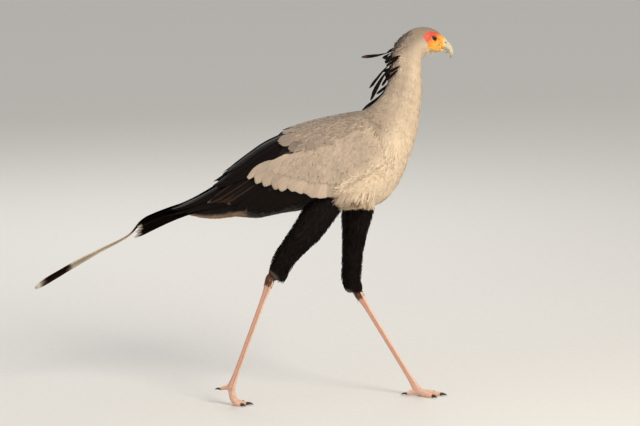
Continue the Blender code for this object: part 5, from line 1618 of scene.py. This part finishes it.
def make_scutes(scute, material):
    """Broad scutes down the front of each shank and over each toe."""
    rows = []
    for side_name, _ in SIDES:
        top, end, way, front = leg_frame(side_name)
        long = np.linalg.norm(end - top)
        for at in np.arange(9 * MM, long - 5 * MM, 5.2 * MM):
            depth, width = [read_keys([(row[0], row[i]) for row in SHANK], at / long) for i in (1, 2)]
            rows.append((top + way * at + front * (depth - 0.10 * MM), way, front, width / MM * 0.92))
        for toe in range(4):
            line = np.array(toe_rows(side_name, toe))
            count = int(np.linalg.norm(line[-1, :3] - line[0, :3]) / (2.9 * MM))
            for t in np.linspace(0.16, 0.97, count):
                here = along_rows(line, t)
                ahead = unit((along_rows(line, t + 0.03) - along_rows(line, t - 0.03))[:3])
                up = np.cross(ahead, unit(np.array([-ahead[1], ahead[0], 0.0])))
                up *= math.copysign(1.0, up[2])
                rows.append((here[:3] + up * (here[3] - 0.15 * MM), ahead, up, here[4] / MM * 0.74))
    return lay_small_pieces("leg_scutes", rows, scute, material)


def new_material(name):
    """Empty material, add_node for its tree, and the places that its patterns are laid by."""
    material = bpy.data.materials.new(name)
    material.use_nodes = True
    material.node_tree.nodes.clear()
    add = partial(add_node, material.node_tree)
    return material, add, add("TexCoord")


def plumage(name, grey, cream, black, tan, sheen, fringe=0.0):
    """Feather: soft, dull keratin barbs either side of a shaft, which grow out in fine rows.

    The rows of barbs are about 0.5 mm apart in life, drawn at 1.6 mm so that they show.
    """
    material, add, place = new_material(name)
    marks, tone, barb, shaft = [add("Attribute", attribute_name=label)
                                for label in ("marks", "tone", "barb", "shaft")]
    shares = add("SeparateColor", (marks.outputs["Color"],)).outputs
    cloud = add("TexNoise", {"Vector": place, "Scale": 22.0, "Detail": 4.0})
    pale = add("Mix", (shares["Green"], grey, cream))
    pale = add("Mix", (shares["Blue"], pale, tan))
    if fringe:
        edge = add("MapRange", (shaft, 0.55, 1.0, 0.0, fringe))
        pale = add("Mix", (edge, pale, cream))
    whole = add("Mix", (shares["Red"], pale, black))
    wave = add("Math", (barb, 3.93), operation="MULTIPLY")
    wave = add("Math", (wave,), operation="SINE")
    vary = add("Math", (tone, 0.045), operation="MULTIPLY")
    vary = add("Math", (wave, 0.035, vary), operation="MULTIPLY_ADD")
    drift = add("MapRange", (cloud, 0.3, 0.7, 0.90, 1.08))
    vary = add("Math", (vary, drift), operation="ADD")
    rachis = add("MapRange", (shaft, 0.02, 0.16, 0.92, 1.0))
    vary = add("Math", (vary, rachis), operation="MULTIPLY")
    shader = add("BsdfPrincipled", {
        "Base Color": add("VectorMath", {"Vector": whole, "Scale": vary}, operation="SCALE"),
        "Roughness": add("MapRange", (shares["Red"], 0.0, 1.0, 0.85, 0.52)),
        "Normal": add("Bump", {"Height": wave, "Strength": 0.35, "Distance": 0.15 * MM}),
        "Sheen Weight": sheen, "Sheen Roughness": 0.5, "IOR": 1.54, "Specular IOR Level": 0.08})
    add("OutputMaterial", {"Surface": shader})
    return material


def bare_and_feathered_skin():
    """Skin: soft matt down under the coat, and warm, finely pitted bare skin on the face."""
    material, add, place = new_material("skin_grown_down_and_bare_face")
    marks, face, rim = [add("Attribute", attribute_name=label) for label in ("marks", "face", "rim")]
    shares, bare = [add("SeparateColor", (node.outputs["Color"],)).outputs for node in (marks, face)]
    down = add("Mix", (shares["Green"], COAT_GREY, COAT_CREAM))
    # Tan share: the rear of the belly, partly painted shade of the underside
    down = add("Mix", (shares["Blue"], down, "#8A5F38"))
    down = add("Mix", (shares["Red"], down, "#120D0B"))
    fluff = add("TexNoise", {"Vector": place, "Scale": 300.0, "Detail": 3.0})
    dull = add("MapRange", (fluff, 0.3, 0.7, 0.8, 1.05))
    down = add("VectorMath", {"Vector": down, "Scale": dull}, operation="SCALE")
    warm = add("Mix", (bare["Green"], "#F09A30", "#D9573F"))
    warm = add("Mix", (bare["Blue"], warm, "#F2BC52"))
    blotch = add("TexNoise", {"Vector": place, "Scale": 260.0, "Detail": 4.0})
    deep = add("MapRange", (blotch, 0.35, 0.7, 0.80, 1.10))
    warm = add("VectorMath", {"Vector": warm, "Scale": deep}, operation="SCALE")
    # rim: the lids' own dark margin, and on the skin the painted brow shadow over the lore
    warm = add("Mix", (rim, warm, "#24100A"))
    # Pores and pimples about 0.6 mm apart, as fine as a close view shows
    pores = add("TexVoronoi", {"Vector": place, "Scale": 1500.0}, feature="F1")
    shader = add("BsdfPrincipled", {
        "Base Color": add("Mix", (bare["Red"], down, warm)),
        "Roughness": add("MapRange", (bare["Red"], 0.0, 1.0, 0.9, 0.46)),
        "Normal": add("Bump", {"Height": pores, "Strength": 0.5, "Distance": 0.12 * MM}, invert=True),
        "Subsurface Weight": 0.08, "Subsurface Radius": (2 * MM, 0.8 * MM, 0.4 * MM), "Subsurface Scale": 1.0,
        "IOR": 1.40})
    add("OutputMaterial", {"Surface": shader})
    return material


def polished_horn():
    """Horn of the bill: smooth grown keratin, ivory with a green cast, under a waxy yellow cere."""
    material, add, place = new_material("horn_grown_smooth_bill")
    cere, nostril, shade = [add("Attribute", attribute_name=label)
                            for label in ("cere", "nostril", "shade")]
    cut = add("Mapping", {"Vector": place, "Scale": (1.0, 1.0, 2.4)})
    grain = add("TexNoise", {"Vector": cut, "Scale": 190.0, "Detail": 5.0})
    tint = add("ValToRGB", (grain,), ((0.30, "#BEB494"), (0.72, "#DED3B4")))
    horn = add("Mix", (shade, tint, "#8C7858"))
    yellow = add("ValToRGB", (cere,),
                 ((0.0, "#E4D3A4"), (0.35, "#EFCB84"), (0.7, "#F4B350"), (1.0, "#F29A34")))
    wax = add("MapRange", (cere, 0.0, 0.3, 0.0, 1.0))
    wax = add("Mix", (wax, horn, yellow))
    shader = add("BsdfPrincipled", {
        # Painted shade: the sunk nostril is darkened as if its opening lay in shadow
        "Base Color": add("Mix", (nostril, wax, "#1C120C")),
        "Roughness": add("MapRange", (grain, 0.2, 0.8, 0.26, 0.42)),
        "Normal": add("Bump", {"Height": grain, "Strength": 0.25, "Distance": 0.15 * MM}),
        "Coat Weight": 0.25, "Coat Roughness": 0.2, "IOR": 1.54})
    add("OutputMaterial", {"Surface": shader})
    return material


def wet_eye():
    """Eye: clear wet cornea over a dark brown iris with a finely streaked rim and a black pupil."""
    material, add, place = new_material("eye_wet_cornea_over_iris")
    out = add("Attribute", attribute_name="out")
    streak = add("TexNoise", {"Vector": place, "Scale": 900.0, "Detail": 3.0})
    wander = add("MapRange", (streak, 0.3, 0.7, -0.35, 0.35))
    wander = add("Math", (out, wander), operation="ADD")
    ring = add("MapRange", (wander, 0.0, 8.0, 0.0, 1.0))
    shader = add("BsdfPrincipled", {
        "Base Color": add("ValToRGB", (ring,), (
            (0.0, "#040202"), (0.36, "#050303"), (0.40, "#2A180E"), (0.58, "#442816"), (0.68, "#1E110A"),
            (0.72, "#080403"), (0.90, "#1E110C"))),
        "Roughness": 0.12, "Specular IOR Level": 0.20, "Coat Weight": 0.35, "Coat Roughness": 0.03,
        "IOR": 1.376})
    add("OutputMaterial", {"Surface": shader})
    return material


def scaled_leg_skin(name, plates):
    """Leg skin: dry pink scales, close-set and round at the sides, broad plates in front."""
    material, add, place = new_material(name)
    # Round scales about 1.8 mm across, as on the sides of the shank
    cells = add("TexVoronoi", {"Vector": place, "Scale": 560.0}, feature="F1")
    seams = add("MapRange", (cells, 0.35, 0.75, 0.0, 1.0))
    cloud = add("TexNoise", {"Vector": place, "Scale": 40.0, "Detail": 4.0})
    height = add("SeparateXYZ", (place,))
    low = add("MapRange", (height.outputs["Z"], 0.070, 0.010, 0.0, 1.0))
    pink = "#F0CDB6"
    if not plates:
        front, hock = [add("Attribute", attribute_name=label) for label in ("front", "hock")]
        # Round the shank: paler at the front and darker at the rear, partly painted light from the front and
        # painted shade at the rear, with a dark line along each side
        painted_light_round_leg = add("MapRange", (front, -1.0, 1.0, 0.0, 1.0))
        pink = add("ValToRGB", (painted_light_round_leg,), (
            (0.0, "#C48C78"), (0.25, "#E0AE98"), (0.50, "#D8A08A"), (0.58, "#8E5B4B"), (0.67, "#F2CFB9"),
            (1.0, "#F3D3BA")))
        pink = add("Mix", (hock, pink, "#6B4E40"))
    pink = add("Mix", (low, pink, "#E0B8A0"))
    cloudy = add("MapRange", (cloud, 0.3, 0.7, 0.0, 0.3))
    warm = add("Mix", (cloudy, pink, "#F5D8C4" if plates else "#DDAF99"))
    strength = add("Math", (seams, 0.12 if plates else 0.32), operation="MULTIPLY")
    shader = add("BsdfPrincipled", {
        "Base Color": add("Mix", (strength, warm, "#A5705A")),
        "Roughness": add("MapRange", (cloud, 0.2, 0.8, 0.48, 0.66)),
        "Normal": add("Bump", {"Height": seams, "Strength": 0.2 if plates else 0.7,
                               "Distance": 0.25 * MM}, invert=True),
        "IOR": 1.45})
    add("OutputMaterial", {"Surface": shader})
    return material


def claw_horn():
    """Claw: dense dark keratin, worn dull at the base and smooth at the point."""
    material, add, place = new_material("claw_horn_grown_dark")
    along = add("Attribute", attribute_name="along")
    grain = add("TexNoise", {"Vector": place, "Scale": 420.0, "Detail": 4.0})
    base = add("Mix", (grain, "#2A211C", "#4A3B32"))
    shader = add("BsdfPrincipled", {
        "Base Color": add("Mix", (along, base, "#1A1411")),
        "Roughness": add("MapRange", (grain, 0.2, 0.8, 0.28, 0.50)),
        "Normal": add("Bump", {"Height": grain, "Strength": 0.3, "Distance": 0.1 * MM}),
        "IOR": 1.54})
    add("OutputMaterial", {"Surface": shader})
    return material


def bristle_horn():
    """Bristle: bare black feather shaft, fine and slightly glossy."""
    material, add, place = new_material("bristle_grown_black")
    grain = add("TexNoise", {"Vector": place, "Scale": 800.0})
    base = add("Mix", (grain, "#0C0807", "#241A15"))
    shader = add("BsdfPrincipled", {"Base Color": base, "Roughness": 0.45, "IOR": 1.54})
    add("OutputMaterial", {"Surface": shader})
    return material


def studio_floor():
    """Floor: matt pale paper with a faint, fine tooth."""
    material, add, place = new_material("paper_matt_rolled")
    tooth = add("TexNoise", {"Vector": place, "Scale": 60.0, "Detail": 6.0})
    base = add("Mix", (tooth, "#DCDAD6", "#E6E4E0"))
    shader = add("BsdfPrincipled", {"Base Color": base, "Roughness": 0.9})
    add("OutputMaterial", {"Surface": shader})
    mesh = bpy.data.meshes.new("floor")
    mesh.from_pydata([(-40, -40, 0), (40, -40, 0), (40, 40, 0), (-40, 40, 0)], [], [(0, 1, 2, 3)])
    floor = link("floor", mesh, material)


def area_light(name, place, size, power, colour):
    """Soft square lamp aimed at the middle of the bird."""
    data = bpy.data.lights.new(name, "AREA")
    data.size = size
    data.energy = power
    data.color = linear(colour)[:3]
    lamp = link(name, data)
    lamp.location = place
    lamp.rotation_euler = (CAMERA_TARGET - Vector(place)).to_track_quat("-Z", "Y").to_euler()


def studio():
    """Pale floor, soft light and the camera at the photograph's place."""
    studio_floor()
    world = bpy.data.worlds.new("soft_light")
    world.use_nodes = True
    world.node_tree.nodes.clear()
    sky = add_node(world.node_tree, "Background", {"Color": "#F4F3F0", "Strength": 0.62})
    add_node(world.node_tree, "OutputWorld", {"Surface": sky})
    bpy.context.scene.world = world
    area_light("key", (2.2, -2.6, 2.8), 1.4, 104, "#FFF2E2")
    area_light("fill", (-2.6, -2.2, 1.8), 2.4, 16, "#EEF3FF")
    area_light("back", (-0.5, 3.0, 2.6), 2.0, 36, "#FFFFFF")
    data = bpy.data.cameras.new("camera")
    camera = link("camera", data)
    away = Vector((0.0, -math.cos(CAMERA_RISE), math.sin(CAMERA_RISE)))
    camera.location = CAMERA_TARGET + away * CAMERA_DISTANCE
    camera.rotation_euler = (-away).to_track_quat("-Z", "Y").to_euler()
    data.sensor_width = 36.0
    data.lens = 36.0 * CAMERA_DISTANCE / (PHOTO_WIDTH * METRES_PER_PIXEL)
    data.clip_end = 100.0
    bpy.context.scene.camera = camera
    bpy.context.scene.view_settings.view_transform = "Standard"


def build():
    """Make every piece, listed with the name of a material slot and the nodes that it stands for; hang each
    under the root and hide those nodes.
    """
    studio()
    # The soft coat's tan colours the rear of the belly, partly painted shade of the underside
    soft = plumage("feather_grown_soft_contour", COAT_GREY, COAT_CREAM, "#130B07", "#A2794E", 0.15, 0.05)
    wing = plumage("feather_grown_wing_covert", "#AF9D8C", "#E0CBB0", "#12100F", "#6B4A30", 0.12, 0.16)
    dark = plumage("feather_grown_black", "#A8937D", "#E4D8C6", "#110805", "#6B4630", 0.0)
    skin_material = bare_and_feathered_skin()
    skin = make_skin(skin_material)
    pieces = [(skin, "grey_plumage", ("torso", "neck", "head", "thigh_left", "thigh_right"))]
    chooser = np.random.default_rng(11)
    for region, slot, node in (("breast", "grey_plumage", "torso"), ("back", "grey_plumage", "torso"),
                               ("neck", "neck_plumage", "neck"), ("head", "head_plumage", "head")):
        pieces.append((close_coat(region, chooser, soft), slot, (node,)))
    for make, slot, node in ((nape_coat, "head_plumage", "head"), (chin_coat, "head_plumage", "head"),
                             (fringe_coat, "grey_plumage", "torso"), (mantle_coat, "grey_plumage", "torso")):
        pieces.append((make(chooser, soft), slot, (node,)))
    for side_name, _ in SIDES:
        for make in (thigh_coat, hock_coat):
            pieces.append((make(side_name, chooser, dark), "black_plumage", (f"thigh_{side_name}",)))
    pieces += make_wings(wing, dark)
    pieces += make_tail(dark)
    pieces += make_crest(dark)
    pieces += make_bill(polished_horn())
    pieces += make_eyes(wet_eye())
    skin_tree = tree_of(skin)
    pieces += make_lids(skin_tree, skin_material)
    leg = scaled_leg_skin("leg_skin_grown_round_scales", False)
    plates = scaled_leg_skin("leg_skin_grown_broad_scutes", True)
    pieces += make_legs(leg)
    pieces += make_claws(claw_horn())
    patterns = [bristle_piece(), scute_piece()]
    pieces.append((make_lashes(patterns[0], skin_tree, bristle_horn()), "head_plumage", ("head",)))
    pieces.append((make_scutes(patterns[1], plates), "leg_skin", ("shank_left", "shank_right")))
    drop_patterns(patterns)
    for piece, slot, nodes in pieces:
        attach(piece, "root")
        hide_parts(*nodes)


build()
